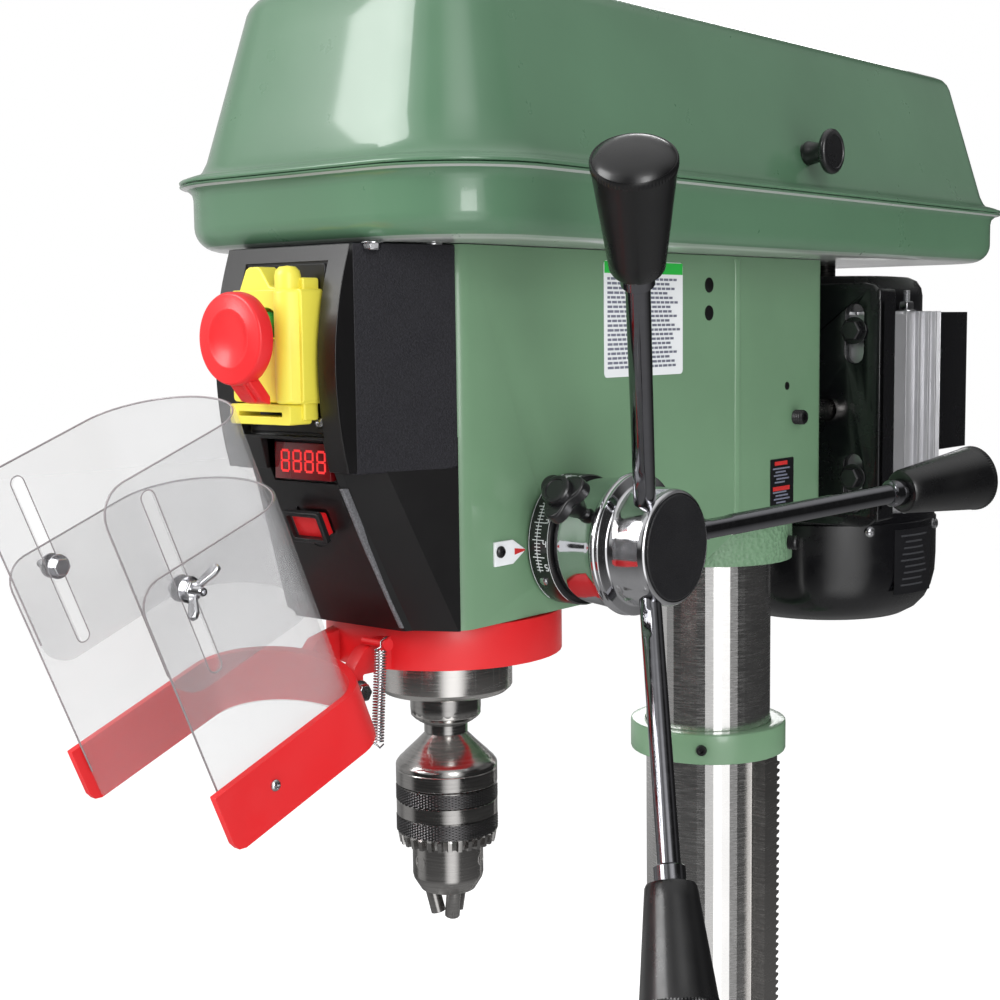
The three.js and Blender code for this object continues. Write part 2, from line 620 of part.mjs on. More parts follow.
const SLEEVE_BORE = 20;
const JAW = { r: 4, tilt: 14 * DEG, offset: 9 };

// one jaw: a round bar in a slanting bore, pointing down and inwards
function jawBar(r, down, up) {
  return rod(r, -down, up, 0, 0, 12).rotateY(JAW.tilt).translate(JAW.offset, 0, CHUCK.bottom);
}
const jawAngles = [90, 210, 330].map((a) => a * DEG);

function makeChuckBody() {
  const { top, bodyTop, shoulder, sleeveTop, teeth, bottom } = CHUCK;
  const inSleeve = SLEEVE_BORE - GAP;
  const body = turned([[0, bottom], [14, bottom], [18.7, bottom + 7], [18.7, teeth + 1],
    [inSleeve, teeth + 1], [inSleeve, sleeveTop + GAP], [26.5, sleeveTop + GAP], [26.5, shoulder],
    [25.5, shoulder + 6], [22, shoulder + 10], [12.5, bodyTop - 2], [10, bodyTop], [10, top], [0, top]], 32);
  return cut(body, rod(7.5, bottom - 1, bottom + 34, 0, 0, 20),
    ...jawAngles.map((a) => jawBar(JAW.r + GAP, 20, 30).rotateZ(a)));
}

const chuckSleeve = turnedRing([[SLEEVE_BORE, CHUCK.teeth], [25.5, CHUCK.teeth], [26.5, CHUCK.teeth + 2],
  [26.5, CHUCK.sleeveTop], [SLEEVE_BORE, CHUCK.sleeveTop]], 36);

const chuck = group(
  mesh('chuck_body', makeChuckBody(), darkSteel),
  mesh('chuck_sleeve', chuckSleeve, darkSteel),
  ...jawAngles.map((a, i) => mesh(`chuck_jaw_${i + 1}`, jawBar(JAW.r, 14, 20).rotateZ(a), steel)),
);

const quillAssembly = group(
  mesh('quill', makeQuill(), steel),
  mesh('spindle', turned(spindleProfile, 28), steel),
  chuck,
);
quillAssembly.position.set(0, SPINDLE_Y, 0);

// ---------------------------------------------------------------- chuck guard
function makeGuardRing() {
  const { ringR, ringBottom, ringTop, hingeY, hingeZ } = GUARD;
  const band = ring(ringR, QUILL.endR + GAP, ringBottom, ringTop, 44);
  const inRing = 8 - ringR;
  const ears = [-1, 1].map((side) => slabX([[hingeY - 4, hingeZ - 1.2], [hingeY - 2.6, hingeZ - 3.2],
    [hingeY, hingeZ - 4], [hingeY + 2.4, hingeZ - 3.2], [hingeY + 3.2, hingeZ], [hingeY + 3.2, ringBottom],
    [hingeY + 4, ringBottom + 0.5], [inRing, ringBottom + 0.5], [inRing, ringTop - 4],
    [hingeY + 5, hingeZ + 20], [hingeY - 2, hingeZ + 12], [hingeY - 4, hingeZ + 6]],
  side * 18 - 4, side * 18 + 4));
  const hingePin = rodX(2.6, -20, 20, hingeY, hingeZ, 16);
  return join(band, ...ears, hingePin);
}

// the U of the guard seen along its own height: s runs from the leg ends towards the hinge
function guardU(halfWidth, thickness, reach, start = 0) {
  const arc = (half, depth) => Array.from({ length: 13 }, (_, i) => {
    const a = (i * Math.PI) / 12;
    return [half * Math.cos(a), reach - GUARD.bend + depth * Math.sin(a)];
  });
  const inner = arc(halfWidth - thickness, GUARD.bend - thickness).reverse();
  return [[halfWidth, start], ...arc(halfWidth, GUARD.bend), [-halfWidth, start],
    [-halfWidth + thickness, start], ...inner, [halfWidth - thickness, start]];
}

// guard-frame coordinates: X across, Y from the leg ends to the hinge, Z up the shield
const legEnd = { y: -180, z: 1278.7 };

function hingeInFrame() {
  const y = GUARD.hingeY - legEnd.y;
  const z = GUARD.hingeZ - legEnd.z;
  const [c, s] = [Math.cos(GUARD.raised), Math.sin(GUARD.raised)];
  return { y: y * c + z * s, z: z * c - y * s };
}

function makeGuardFrame() {
  const { halfWidth, thickness, reach, band } = GUARD;
  const hinge = hingeInFrame();
  const lug = join(
    box(-12, reach - 2, hinge.z - 6, 12, hinge.y, hinge.z + 6),
    rodX(6, -12, 12, hinge.y, hinge.z, 20),
  );
  return cut(join(slab(guardU(halfWidth, thickness, reach), 0, band), lug),
    rodX(2.9, -13, 13, hinge.y, hinge.z, 16));
}

function makeShield() {
  const { halfWidth, thickness, reach, sheet, shieldTop } = GUARD;
  const inner = halfWidth - thickness - GAP;
  return slab(guardU(inner, sheet, reach - thickness - GAP, 7), 1, shieldTop);
}

function makeSlidingShield() {
  const { halfWidth, thickness, reach, sheet, slideBottom, slideTop } = GUARD;
  const offset = thickness + GAP + sheet + 0.5;
  return slab(guardU(halfWidth - offset, sheet, reach - offset, 9), slideBottom, slideTop);
}

const guardFrame = group(
  mesh('guard_frame', makeGuardFrame(), redPlastic),
  mesh('guard_shield', makeShield(), clearPlastic),
  mesh('shield_extension', makeSlidingShield(), clearPlastic),
);
guardFrame.position.set(0, legEnd.y, legEnd.z);
guardFrame.rotation.set(GUARD.raised, 0, 0);

const springStart = new THREE.Vector3(35, -74, 1350);
const springEnd = new THREE.Vector3(35, -82.5, 1321);
const guardSpring = mesh('guard_spring',
  rod(3, 0, springStart.distanceTo(springEnd), 0, 0, 12), steel);
guardSpring.position.copy(springEnd);
guardSpring.quaternion.setFromUnitVectors(new THREE.Vector3(0, 0, 1),
  springStart.clone().sub(springEnd).normalize());

const chuckGuard = group(
  mesh('guard_ring', makeGuardRing(), redPlastic),
  guardFrame,
  guardSpring,
);
chuckGuard.position.set(0, SPINDLE_Y, 0);
chuckGuard.rotation.set(0, 0, GUARD.turned);

// ---------------------------------------------------------------- feed
// feed parts are turned about their own Z, which the group lays along +X
const ringEnd = 74.5;
const hubEnd = 127;

function handlePlace(object, angle) {
  const direction = new THREE.Vector3(Math.sin(HANDLE.lean), Math.cos(HANDLE.lean) * Math.cos(angle),
    Math.cos(HANDLE.lean) * Math.sin(angle));
  object.quaternion.setFromUnitVectors(new THREE.Vector3(0, 0, 1), direction);
  object.position.set(HANDLE.originX, FEED.y, HANDLE.originZ);
  return object;
}

function handleHole(angle) {
  const tool = handlePlace(new THREE.Object3D(), angle);
  tool.updateMatrix();
  return rod(HANDLE.rodR + GAP, HANDLE.rodStart - 0.6, 60, 0, 0, 20).applyMatrix4(tool.matrix);
}

const handleAngles = [0, 1, 2].map((i) => HANDLE.first + (i * 2 * Math.PI) / 3);

function makeHub() {
  const { face } = FEED;
  const body = turnedX([[0, face + 0.5], [26.8, face + 0.5], [26.8, ringEnd + GAP], [30.5, ringEnd + GAP],
    [33.5, 99.5], [35.5, 100], [35.5, 105], [29.5, 106.5], [29, hubEnd - 3], [27, hubEnd], [0, hubEnd]], 40)
    .translate(0, FEED.y, FEED.z);
  return cut(body, rodX(FEED.pinionR + GAP, face - 5, face + 32, FEED.y, FEED.z, 32),
    ...handleAngles.map(handleHole));
}

const knobProfile = [[HANDLE.rodR + GAP, HANDLE.knobStart], [HANDLE.knobSmallR - 2, HANDLE.knobStart],
  [HANDLE.knobSmallR, HANDLE.knobStart + 2], [HANDLE.knobBigR, HANDLE.knobEnd - 6],
  [HANDLE.knobBigR - 1.5, HANDLE.knobEnd - 2], [10, HANDLE.knobEnd + 1], [0, HANDLE.knobEnd + 2],
  [0, HANDLE.knobEnd - 14], [HANDLE.rodR + GAP, HANDLE.knobEnd - 14]];

const handles = handleAngles.flatMap((angle, i) => [
  handlePlace(mesh(`feed_handle_${i + 1}`,
    rod(HANDLE.rodR, HANDLE.rodStart, HANDLE.knobEnd - 14.6, 0, 0, 20), chrome), angle),
  handlePlace(mesh(`feed_knob_${i + 1}`, turnedRing(knobProfile, 28), blackPlastic), angle),
]);

// the knob that locks the depth ring, standing out from the hub's cone
const LOCK = { angle: 147.5 * DEG, x: 90, reach: 33.6 };
const lockKnob = mesh('depth_lock_knob', turned([[0, 0], [3.5, 0], [3.5, 2], [5, 3], [8.5, 13], [12, 15],
  [12, 22], [7.5, 23], [7.5, 27], [0, 27]], 20), blackPlastic);
lockKnob.position.set(LOCK.x, FEED.y + LOCK.reach * Math.cos(LOCK.angle),
  FEED.z + LOCK.reach * Math.sin(LOCK.angle));
lockKnob.rotation.set(LOCK.angle - Math.PI / 2, 0, 0);

const depthRing = turnedX([[27.2, FEED.face], [33, FEED.face], [33, ringEnd], [27.2, ringEnd],
  [27.2, FEED.face]], 40).translate(0, FEED.y, FEED.z);
const springCan = turnedX([[0, -90], [30, -90], [38, -86], [38, -HEAD.halfX - GAP], [14, -HEAD.halfX - GAP],
  [14, -80], [0, -80]], 36).translate(0, FEED.y, FEED.z);

const feed = group(
  mesh('feed_shaft', rodX(FEED.pinionR, -78, FEED.face + 31, FEED.y, FEED.z, 32), steel),
  mesh('feed_hub', makeHub(), chrome),
  ...handles,
  mesh('depth_ring', depthRing, blackPlastic),
  lockKnob,
  mesh('return_spring_can', springCan, blackPaint),
);

// ---------------------------------------------------------------- lamp switch on the panel's lower face
const lampSwitch = mesh('light_switch',
  new THREE.BoxGeometry(2 * ROCKER.halfX, ROCKER.thickness, 2 * ROCKER.halfZ), redPlastic);
lampSwitch.position.set(ROCKER.x, ROCKER.y, ROCKER.z);
lampSwitch.rotation.set(ROCKER.tilt, 0, 0);

export default group(
  stand, tableAssembly, head, beltDrive, motor, quillAssembly, chuckGuard, feed, lampSwitch,
);
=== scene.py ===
# Looks for a floor-standing drill press. Sizes are in millimetres, in the CAD's frame:
# +Z up, the column's axis at X = Y = 0, the operator at -Y and the feed handles at +X.
import math

import bmesh
import bpy
from mathutils import Matrix, Vector


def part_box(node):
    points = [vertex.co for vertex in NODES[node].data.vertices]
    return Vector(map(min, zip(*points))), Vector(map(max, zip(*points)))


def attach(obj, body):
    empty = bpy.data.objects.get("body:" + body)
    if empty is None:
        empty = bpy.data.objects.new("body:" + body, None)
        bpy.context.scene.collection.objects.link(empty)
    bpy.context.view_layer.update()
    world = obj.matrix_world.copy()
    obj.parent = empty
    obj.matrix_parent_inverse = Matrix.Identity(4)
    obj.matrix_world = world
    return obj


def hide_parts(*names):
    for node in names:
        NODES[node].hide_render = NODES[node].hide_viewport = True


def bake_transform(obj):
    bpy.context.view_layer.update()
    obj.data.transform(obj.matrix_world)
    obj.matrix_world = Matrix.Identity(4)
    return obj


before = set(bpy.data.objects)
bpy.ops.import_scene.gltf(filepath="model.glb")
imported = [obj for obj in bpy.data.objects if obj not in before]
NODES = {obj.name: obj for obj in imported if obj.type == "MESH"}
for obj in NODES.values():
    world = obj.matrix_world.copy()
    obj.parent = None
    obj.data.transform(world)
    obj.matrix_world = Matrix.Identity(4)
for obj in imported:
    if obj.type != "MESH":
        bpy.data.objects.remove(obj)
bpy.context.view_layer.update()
MM = 0.001
TAU = 2 * math.pi


# ------------------------------------------------------------------ sizes shared with the CAD
SPINDLE_Y = -256.0
HEAD_SIDE = 60.0  # X of the casting's right face
FEED_Y, FEED_Z = -228.0, 1393.5
MOTOR_Y = 150.0
HINGE = (0, -79.0, 1327.0)  # the guard's hinge, in the guard's own frame
LEG_END = (0, -180.0, 1278.7)  # lower front edge of the guard frame's legs, in the same frame
PLATE_FACE = -363.0  # Y of the panel's recessed switch plate
MOTOR_PLATE_Y = 62.0

GUARD = Matrix.Translation((0, SPINDLE_Y, 0)) @ Matrix.Rotation(math.radians(-4.5), 4, "Z")
GUARD_FRAME = GUARD @ Matrix.Translation(LEG_END) @ Matrix.Rotation(math.radians(22.4), 4, "X")
SPINDLE = Matrix.Translation((0, SPINDLE_Y, 0))
MOTOR = Matrix.Translation((0, MOTOR_Y, 0))


# ------------------------------------------------------------------ mesh helpers
def scaled_mesh(name, verts, faces):
    """A mesh in metres from points in millimetres."""
    mesh = bpy.data.meshes.new(name)
    mesh.from_pydata([Vector(v) * MM for v in verts], [], faces)
    return mesh


def clean(mesh):
    """Join points that lie together and turn every face outwards."""
    bm = bmesh.new()
    bm.from_mesh(mesh)
    bmesh.ops.remove_doubles(bm, verts=bm.verts, dist=2e-6)
    bmesh.ops.recalc_face_normals(bm, faces=bm.faces)
    bm.to_mesh(mesh)
    bm.free()


def add_object(name, verts, faces, material, body, sharp=35.0, bevel=0.0, segments=2):
    """A piece that rides on a CAD body, from points in millimetres."""
    return finish_mesh(name, scaled_mesh(name, verts, faces), material, body, sharp, bevel, segments)


def finish_mesh(name, mesh, material, body, sharp=35.0, bevel=0.0, segments=2):
    clean(mesh)
    obj = bpy.data.objects.new(name, mesh)
    bpy.context.scene.collection.objects.link(obj)
    mesh.materials.clear()
    mesh.materials.append(material)
    shade(obj, sharp)
    if bevel:
        add_bevel(obj, bevel, segments)
    if body:
        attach(obj, body)
    return obj


def shade(obj, sharp=35.0):
    mesh = obj.data
    mesh.polygons.foreach_set("use_smooth", [True] * len(mesh.polygons))
    mesh.set_sharp_from_angle(angle=math.radians(sharp))
    mesh.update()


def add_bevel(obj, width, segments=2, angle=35.0, weld=False):
    if weld:
        welded = obj.modifiers.new("weld", "WELD")
        welded.merge_threshold = 1e-5
    bevel = obj.modifiers.new("bevel", "BEVEL")
    bevel.width = width * MM
    bevel.segments = segments
    bevel.limit_method = "ANGLE"
    bevel.angle_limit = math.radians(angle)
    bevel.harden_normals = False
    bevel.use_clamp_overlap = True


def facing(origin, direction, up=(0, 0, 1)):
    """A matrix whose Z axis is direction and whose Y axis is as near up as it can be."""
    z = Vector(direction).normalized()
    up = Vector(up)
    if abs(z.dot(up.normalized())) > 0.999:
        up = Vector((0, 1, 0)) if abs(z.y) < 0.9 else Vector((1, 0, 0))
    x = up.cross(z).normalized()
    y = z.cross(x)
    m = Matrix((x, y, z)).transposed().to_4x4()
    m.translation = Vector(origin)
    return m


IDENTITY = Matrix.Identity(4)
# These stand an outline up: (y, z) raised along X, (x, z) raised towards -Y, and (x, z) raised towards +Y.
SIDEWAYS = Matrix(((0, 0, 1, 0), (1, 0, 0, 0), (0, 1, 0, 0), (0, 0, 0, 1)))
FORWARDS = Matrix(((1, 0, 0, 0), (0, 0, -1, 0), (0, 1, 0, 0), (0, 0, 0, 1)))
BACKWARDS = Matrix(((1, 0, 0, 0), (0, 0, 1, 0), (0, 1, 0, 0), (0, 0, 0, 1)))


def lathe_data(profile, segments=96, matrix=IDENTITY, relief=None):
    """Vertices and faces of a profile of (radius, height) turned about Z.

    relief(row, i) is how far the surface is cut back at point i of that row of the profile.
    """
    verts, faces, rings = [], [], []
    for row, (r, h) in enumerate(profile):
        if r < 1e-6:
            rings.append([len(verts)])
            verts.append((0.0, 0.0, h))
        else:
            rings.append(list(range(len(verts), len(verts) + segments)))
            for i in range(segments):
                reach = r - relief(row, i) if relief else r
                verts.append((reach * math.cos(TAU * i / segments), reach * math.sin(TAU * i / segments), h))
    for a, b in zip(rings, rings[1:]):
        for i in range(segments):
            j = (i + 1) % segments
            if len(a) == 1 and len(b) == 1:
                continue
            if len(a) == 1:
                faces.append((a[0], b[j], b[i]))
            elif len(b) == 1:
                faces.append((a[i], a[j], b[0]))
            else:
                faces.append((a[i], a[j], b[j], b[i]))
    return [matrix @ Vector(v) for v in verts], faces


def lathe(name, profile, material, body, matrix=IDENTITY, segments=96, sharp=35.0, bevel=0.0, relief=None):
    verts, faces = lathe_data(profile, segments, matrix, relief)
    return add_object(name, verts, faces, material, body, sharp, bevel)


def loft_data(rings, capped=True):
    """Vertices and faces of closed rings with equal numbers of points."""
    count = len(rings[0])
    verts = [p for ring in rings for p in ring]
    faces = []
    for k in range(len(rings) - 1):
        for i in range(count):
            j = (i + 1) % count
            faces.append((k * count + i, k * count + j, (k + 1) * count + j, (k + 1) * count + i))
    if capped:
        faces.append(tuple(reversed(range(count))))
        faces.append(tuple(range((len(rings) - 1) * count, len(rings) * count)))
    return verts, faces


def prism_data(outline, h0, h1, matrix=IDENTITY):
    """An outline of (x, y) points raised from h0 to h1 along the matrix's Z."""
    rings = [[matrix @ Vector((x, y, h)) for x, y in outline] for h in (h0, h1)]
    return loft_data(rings)


def prism(name, outline, h0, h1, material, body, matrix=IDENTITY, bevel=0.6, sharp=35.0, segments=2):
    verts, faces = prism_data(outline, h0, h1, matrix)
    return add_object(name, verts, faces, material, body, sharp, bevel, segments)


def tube_data(path, radius, sides=12, closed=False):
    """A round tube along points, with its frame carried along the path."""
    points = [Vector(p) for p in path]
    count = len(points)
    tangents = []
    for i in range(count):
        a = points[i - 1] if i or closed else points[0]
        b = points[(i + 1) % count] if i + 1 < count or closed else points[-1]
        tangents.append((b - a).normalized())
    normal = tangents[0].orthogonal().normalized()
    rings = []
    for point, tangent in zip(points, tangents):
        normal = (normal - tangent * normal.dot(tangent)).normalized()
        across = tangent.cross(normal)
        angles = [TAU * k / sides for k in range(sides)]
        rings.append([point + radius * (normal * math.cos(a) + across * math.sin(a)) for a in angles])
    if closed:
        rings.append(rings[0])
    return loft_data(rings, capped=not closed)


def merge_data(*parts):
    verts, faces = [], []
    for part_verts, part_faces in parts:
        base = len(verts)
        verts += part_verts
        faces += [tuple(i + base for i in face) for face in part_faces]
    return verts, faces


def raw_object(data):
    """An object without a look, for a boolean."""
    mesh = scaled_mesh("raw", *data)
    clean(mesh)
    obj = bpy.data.objects.new("raw", mesh)
    bpy.context.scene.collection.objects.link(obj)
    return obj


def boolean_mesh(base, cutters=(), joins=()):
    """The mesh of base with the cutters taken away and the joins added."""
    target = raw_object(base)
    tools = []
    for operation, parts in (("UNION", joins), ("DIFFERENCE", cutters)):
        for part in parts:
            tool = raw_object(part)
            tools.append(tool)
            modifier = target.modifiers.new("boolean", "BOOLEAN")
            modifier.operation = operation
            modifier.solver = "EXACT"
            modifier.object = tool
    bpy.context.view_layer.update()
    evaluated = target.evaluated_get(bpy.context.evaluated_depsgraph_get())
    mesh = bpy.data.meshes.new_from_object(evaluated)
    for obj in [target, *tools]:
        bpy.data.objects.remove(obj)
    return mesh


def box_data(low, high):
    (x0, y0, z0), (x1, y1, z1) = low, high
    return prism_data([(x0, y0), (x1, y0), (x1, y1), (x0, y1)], z0, z1)


def rounded(x0, y0, x1, y1, radius, steps=6):
    points = []
    for cx, cy, start in ((x1 - radius, y0 + radius, -90), (x1 - radius, y1 - radius, 0),
                          (x0 + radius, y1 - radius, 90), (x0 + radius, y0 + radius, 180)):
        for i in range(steps + 1):
            a = math.radians(start + 90 * i / steps)
            points.append((cx + radius * math.cos(a), cy + radius * math.sin(a)))
    return points


def smooth_curve(points, steps=6):
    """A Catmull-Rom curve through (a, b) points, for a profile with round stretches."""
    out = []
    padded = [points[0], *points, points[-1]]
    for p0, p1, p2, p3 in zip(padded, padded[1:], padded[2:], padded[3:]):
        for i in range(steps):
            t = i / steps
            out.append(tuple(0.5 * (2 * b + (c - a) * t + (2 * a - 5 * b + 4 * c - d) * t * t
                                    + (3 * b - a - 3 * c + d) * t ** 3)
                             for a, b, c, d in zip(p0, p1, p2, p3)))
    out.append(points[-1])
    return out


def shader(name):
    material = bpy.data.materials.new(name)
    material.use_nodes = True
    nodes = material.node_tree.nodes
    return material, nodes, material.node_tree.links, nodes["Principled BSDF"]


def set_inputs(node, **values):
    for key, value in values.items():
        node.inputs[key.replace("_", " ")].default_value = value


def coordinates(nodes, links, scale=(1, 1, 1)):
    place = nodes.new("ShaderNodeTexCoord")
    mapping = nodes.new("ShaderNodeMapping")
    mapping.inputs["Scale"].default_value = scale
    links.new(place.outputs["Object"], mapping.inputs["Vector"])
    return mapping.outputs["Vector"]


def noise(nodes, links, vector, scale, detail=3.0, roughness=0.5):
    texture = nodes.new("ShaderNodeTexNoise")
    texture.inputs["Scale"].default_value = scale
    texture.inputs["Detail"].default_value = detail
    texture.inputs["Roughness"].default_value = roughness
    links.new(vector, texture.inputs["Vector"])
    return texture.outputs["Fac"]


def ramp(nodes, links, factor, low, high, start=0.3, end=0.7):
    """A colour or a plain level that goes from low to high as the factor goes from start to end."""
    node = nodes.new("ShaderNodeValToRGB")
    for element, value, position in zip(node.color_ramp.elements, (low, high), (start, end)):
        element.position = position
        element.color = (value, value, value, 1) if isinstance(value, float) else (*value, 1)
    links.new(factor, node.inputs["Fac"])
    return node.outputs["Color"]


def bump(nodes, links, bsdf, height, strength, distance, previous=None):
    node = nodes.new("ShaderNodeBump")
    node.inputs["Strength"].default_value = strength
    node.inputs["Distance"].default_value = distance * MM
    links.new(height, node.inputs["Height"])
    if previous is not None:
        links.new(previous, node.inputs["Normal"])
    links.new(node.outputs["Normal"], bsdf.inputs["Normal"])
    return node.outputs["Normal"]


def shades(color, amount):
    return (tuple(max(c * (1 - amount), 0) for c in color), tuple(min(c * (1 + amount), 1) for c in color))


def coated(name, color, roughness=0.3, coat=0.6, coat_roughness=0.06, grain=0.02, grain_size=2.5,
           variation=0.07, metallic=0.0, spread=0.08):
    """Paint or moulded plastic: slow colour drift, uneven gloss and a fine surface grain."""
    material, nodes, links, bsdf = shader(name)
    vector = coordinates(nodes, links)
    low, high = shades(color, variation)
    links.new(ramp(nodes, links, noise(nodes, links, vector, 9, 4), low, high), bsdf.inputs["Base Color"])
    gloss = noise(nodes, links, vector, 45, 5, 0.6)
    links.new(ramp(nodes, links, gloss, max(roughness - spread, 0.02), roughness + spread),
              bsdf.inputs["Roughness"])
    bump(nodes, links, bsdf, noise(nodes, links, vector, 1000 / grain_size, 2), 1.0, grain)
    set_inputs(bsdf, Metallic=metallic, Coat_Weight=coat, Coat_Roughness=coat_roughness)
    return material


def textured_plastic(name, color, roughness=0.5, grain=0.12, grain_size=1.1, specular=0.5):
    """Black moulded plastic with an etched grain."""
    material, nodes, links, bsdf = shader(name)
    vector = coordinates(nodes, links)
    low, high = shades(color, 0.35)
    fine = noise(nodes, links, vector, 1000 / grain_size, 3, 0.6)
    links.new(ramp(nodes, links, fine, low, high, 0.35, 0.7), bsdf.inputs["Base Color"])
    links.new(ramp(nodes, links, noise(nodes, links, vector, 60, 4), roughness - 0.06, roughness + 0.08),
              bsdf.inputs["Roughness"])
    bump(nodes, links, bsdf, fine, 1.0, grain)
    set_inputs(bsdf, Specular_IOR_Level=specular)
    return material


def ground_metal(name, color, roughness=0.28, streak=(60, 60, 1400), grain=0.01, variation=0.12,
                 metallic=1.0):
    """Turned or ground metal: streaks that run across the fast direction of streak."""
    material, nodes, links, bsdf = shader(name)
    streaks = noise(nodes, links, coordinates(nodes, links, streak), 1, 6, 0.65)
    cloud = noise(nodes, links, coordinates(nodes, links), 25, 4)
    low, high = shades(color, variation)
    mix = nodes.new("ShaderNodeMix")
    mix.data_type = "FLOAT"
    mix.inputs[0].default_value = 0.35
    links.new(streaks, mix.inputs[2])
    links.new(cloud, mix.inputs[3])
    links.new(ramp(nodes, links, mix.outputs[0], low, high, 0.25, 0.75), bsdf.inputs["Base Color"])
    links.new(ramp(nodes, links, streaks, max(roughness - 0.08, 0.03), roughness + 0.1),
              bsdf.inputs["Roughness"])
    bump(nodes, links, bsdf, streaks, 1.0, grain)
    set_inputs(bsdf, Metallic=metallic)
    return material


def clear_sheet(name, tint, opacity):
    """Clear sheet: mostly see-through, a little grey, with faint scratches in its gloss."""
    material, nodes, links, bsdf = shader(name)
    vector = coordinates(nodes, links)
    scratches = noise(nodes, links, vector, 120, 8, 0.7)
    links.new(ramp(nodes, links, scratches, 0.04, 0.14, 0.45, 0.8), bsdf.inputs["Roughness"])
    links.new(ramp(nodes, links, noise(nodes, links, vector, 6, 3), *shades(tint, 0.06)),
              bsdf.inputs["Base Color"])
    links.new(ramp(nodes, links, noise(nodes, links, vector, 9, 3), opacity - 0.03, opacity + 0.03),
              bsdf.inputs["Alpha"])
    bump(nodes, links, bsdf, noise(nodes, links, vector, 14, 1), 1.0, 0.25)
    set_inputs(bsdf, IOR=1.45, Specular_IOR_Level=0.5)
    return material


def masked(nodes, links, output, low, high):
    """1 where the output is above high and 0 where it is below low."""
    level = nodes.new("ShaderNodeMapRange")
    set_inputs(level, From_Min=low, From_Max=high)
    links.new(output, level.inputs["Value"])
    return level.outputs[0]


def casting_coat(name, color):
    """Smooth paint that turns into a hammered finish on the casting's column sleeve."""
    material = coated(name, color, roughness=0.36, coat=0.35, coat_roughness=0.12, grain=0.012,
                      grain_size=3.2, spread=0.03)
    nodes, links = material.node_tree.nodes, material.node_tree.links
    bsdf = nodes["Principled BSDF"]
    vector = coordinates(nodes, links)
    split = nodes.new("ShaderNodeSeparateXYZ")
    links.new(vector, split.inputs[0])
    low_down = masked(nodes, links, split.outputs["Z"], 1.382, 1.379)
    behind = masked(nodes, links, split.outputs["Y"], -0.062, -0.058)
    both = nodes.new("ShaderNodeMath")
    both.operation = "MULTIPLY"
    links.new(low_down, both.inputs[0])
    links.new(behind, both.inputs[1])
    cells = nodes.new("ShaderNodeTexVoronoi")
    set_inputs(cells, Scale=330.0)
    links.new(vector, cells.inputs["Vector"])
    height = nodes.new("ShaderNodeMath")
    height.operation = "MULTIPLY"
    links.new(cells.outputs["Distance"], height.inputs[0])
    links.new(both.outputs[0], height.inputs[1])
    previous = bsdf.inputs["Normal"].links[0].from_socket
    bump(nodes, links, bsdf, height.outputs[0], 1.0, 1.3, previous)
    return material


def paint_with_lit_underside(name, color, floor_light_colour):
    """Paint whose downward faces are painted pale grey, a painted light that stands in for the underside
    being lit from below.
    """
    material = coated(name, color, roughness=0.3, coat=0.7, coat_roughness=0.06, grain=0.01, grain_size=3.2,
                      spread=0.03)
    nodes, links = material.node_tree.nodes, material.node_tree.links
    bsdf = nodes["Principled BSDF"]
    geometry = nodes.new("ShaderNodeNewGeometry")
    split = nodes.new("ShaderNodeSeparateXYZ")
    links.new(geometry.outputs["True Normal"], split.inputs[0])
    down = masked(nodes, links, split.outputs["Z"], -0.8, -0.95)
    mix = nodes.new("ShaderNodeMix")
    mix.data_type = "RGBA"
    links.new(down, mix.inputs[0])
    links.new(bsdf.inputs["Base Color"].links[0].from_socket, mix.inputs[6])
    # the painted light on the faces that point down
    mix.inputs[7].default_value = (*floor_light_colour, 1)
    links.new(mix.outputs[2], bsdf.inputs["Base Color"])
    return material


GREEN = (0.158, 0.285, 0.168)
GUARD_GREEN = (0.088, 0.185, 0.108)
green_paint = coated("green_paint", GREEN, roughness=0.34, coat=0.4, coat_roughness=0.1, grain=0.012,
                     grain_size=3.2, spread=0.03)
lid_paint = coated("lid_paint", GUARD_GREEN, roughness=0.3, coat=0.7, coat_roughness=0.06, grain=0.012,
                   grain_size=3.2, spread=0.03)
casting_paint = casting_coat("casting_paint", GREEN)
# the pan's paint, with painted light on its underside
pan_paint_lit_underside = paint_with_lit_underside("pan_paint_lit_underside", GUARD_GREEN, (0.4, 0.42, 0.4))
red_plastic = coated("red_plastic", (0.72, 0.012, 0.016), roughness=0.38, coat=0.1, coat_roughness=0.2,
                     grain=0.02, variation=0.05)
yellow_plastic = coated("yellow_plastic", (0.86, 0.76, 0.085), roughness=0.42, coat=0.15,
                        coat_roughness=0.25, grain=0.015, variation=0.05)
green_plastic = coated("green_plastic", (0.03, 0.33, 0.08), roughness=0.35, coat=0.3)
black_plastic = textured_plastic("black_plastic", (0.014, 0.0135, 0.018), grain=0.2, grain_size=0.9,
                                 specular=0.35)
# Light grey grained plastic, a painted highlight on the chin's edge strips.
edge_highlight_grey = textured_plastic("painted_edge_highlight_plastic", (0.14, 0.14, 0.15), grain=0.2, grain_size=0.9)
smooth_black = coated("smooth_black_plastic", (0.0065, 0.006, 0.0065), roughness=0.34, coat=0.12,
                      coat_roughness=0.15, grain=0.01, spread=0.03)
satin_black = coated("satin_black_plastic", (0.008, 0.008, 0.009), roughness=0.32, coat=0.25,
                     coat_roughness=0.15, grain=0.01)
knob_black = coated("knob_black_plastic", (0.004, 0.004, 0.0045), roughness=0.3, coat=0.22,
                    coat_roughness=0.14, grain=0.02, grain_size=1.6)
cap_black = textured_plastic("hub_cap_black", (0.012, 0.012, 0.014), roughness=0.45, grain=0.35,
                             grain_size=0.8)
black_enamel = coated("black_enamel", (0.003, 0.003, 0.004), roughness=0.24, coat=0.3, grain=0.015,
                      grain_size=2.0)
column_steel = ground_metal("column_steel", (0.8, 0.79, 0.78), 0.22, streak=(90, 90, 1600))
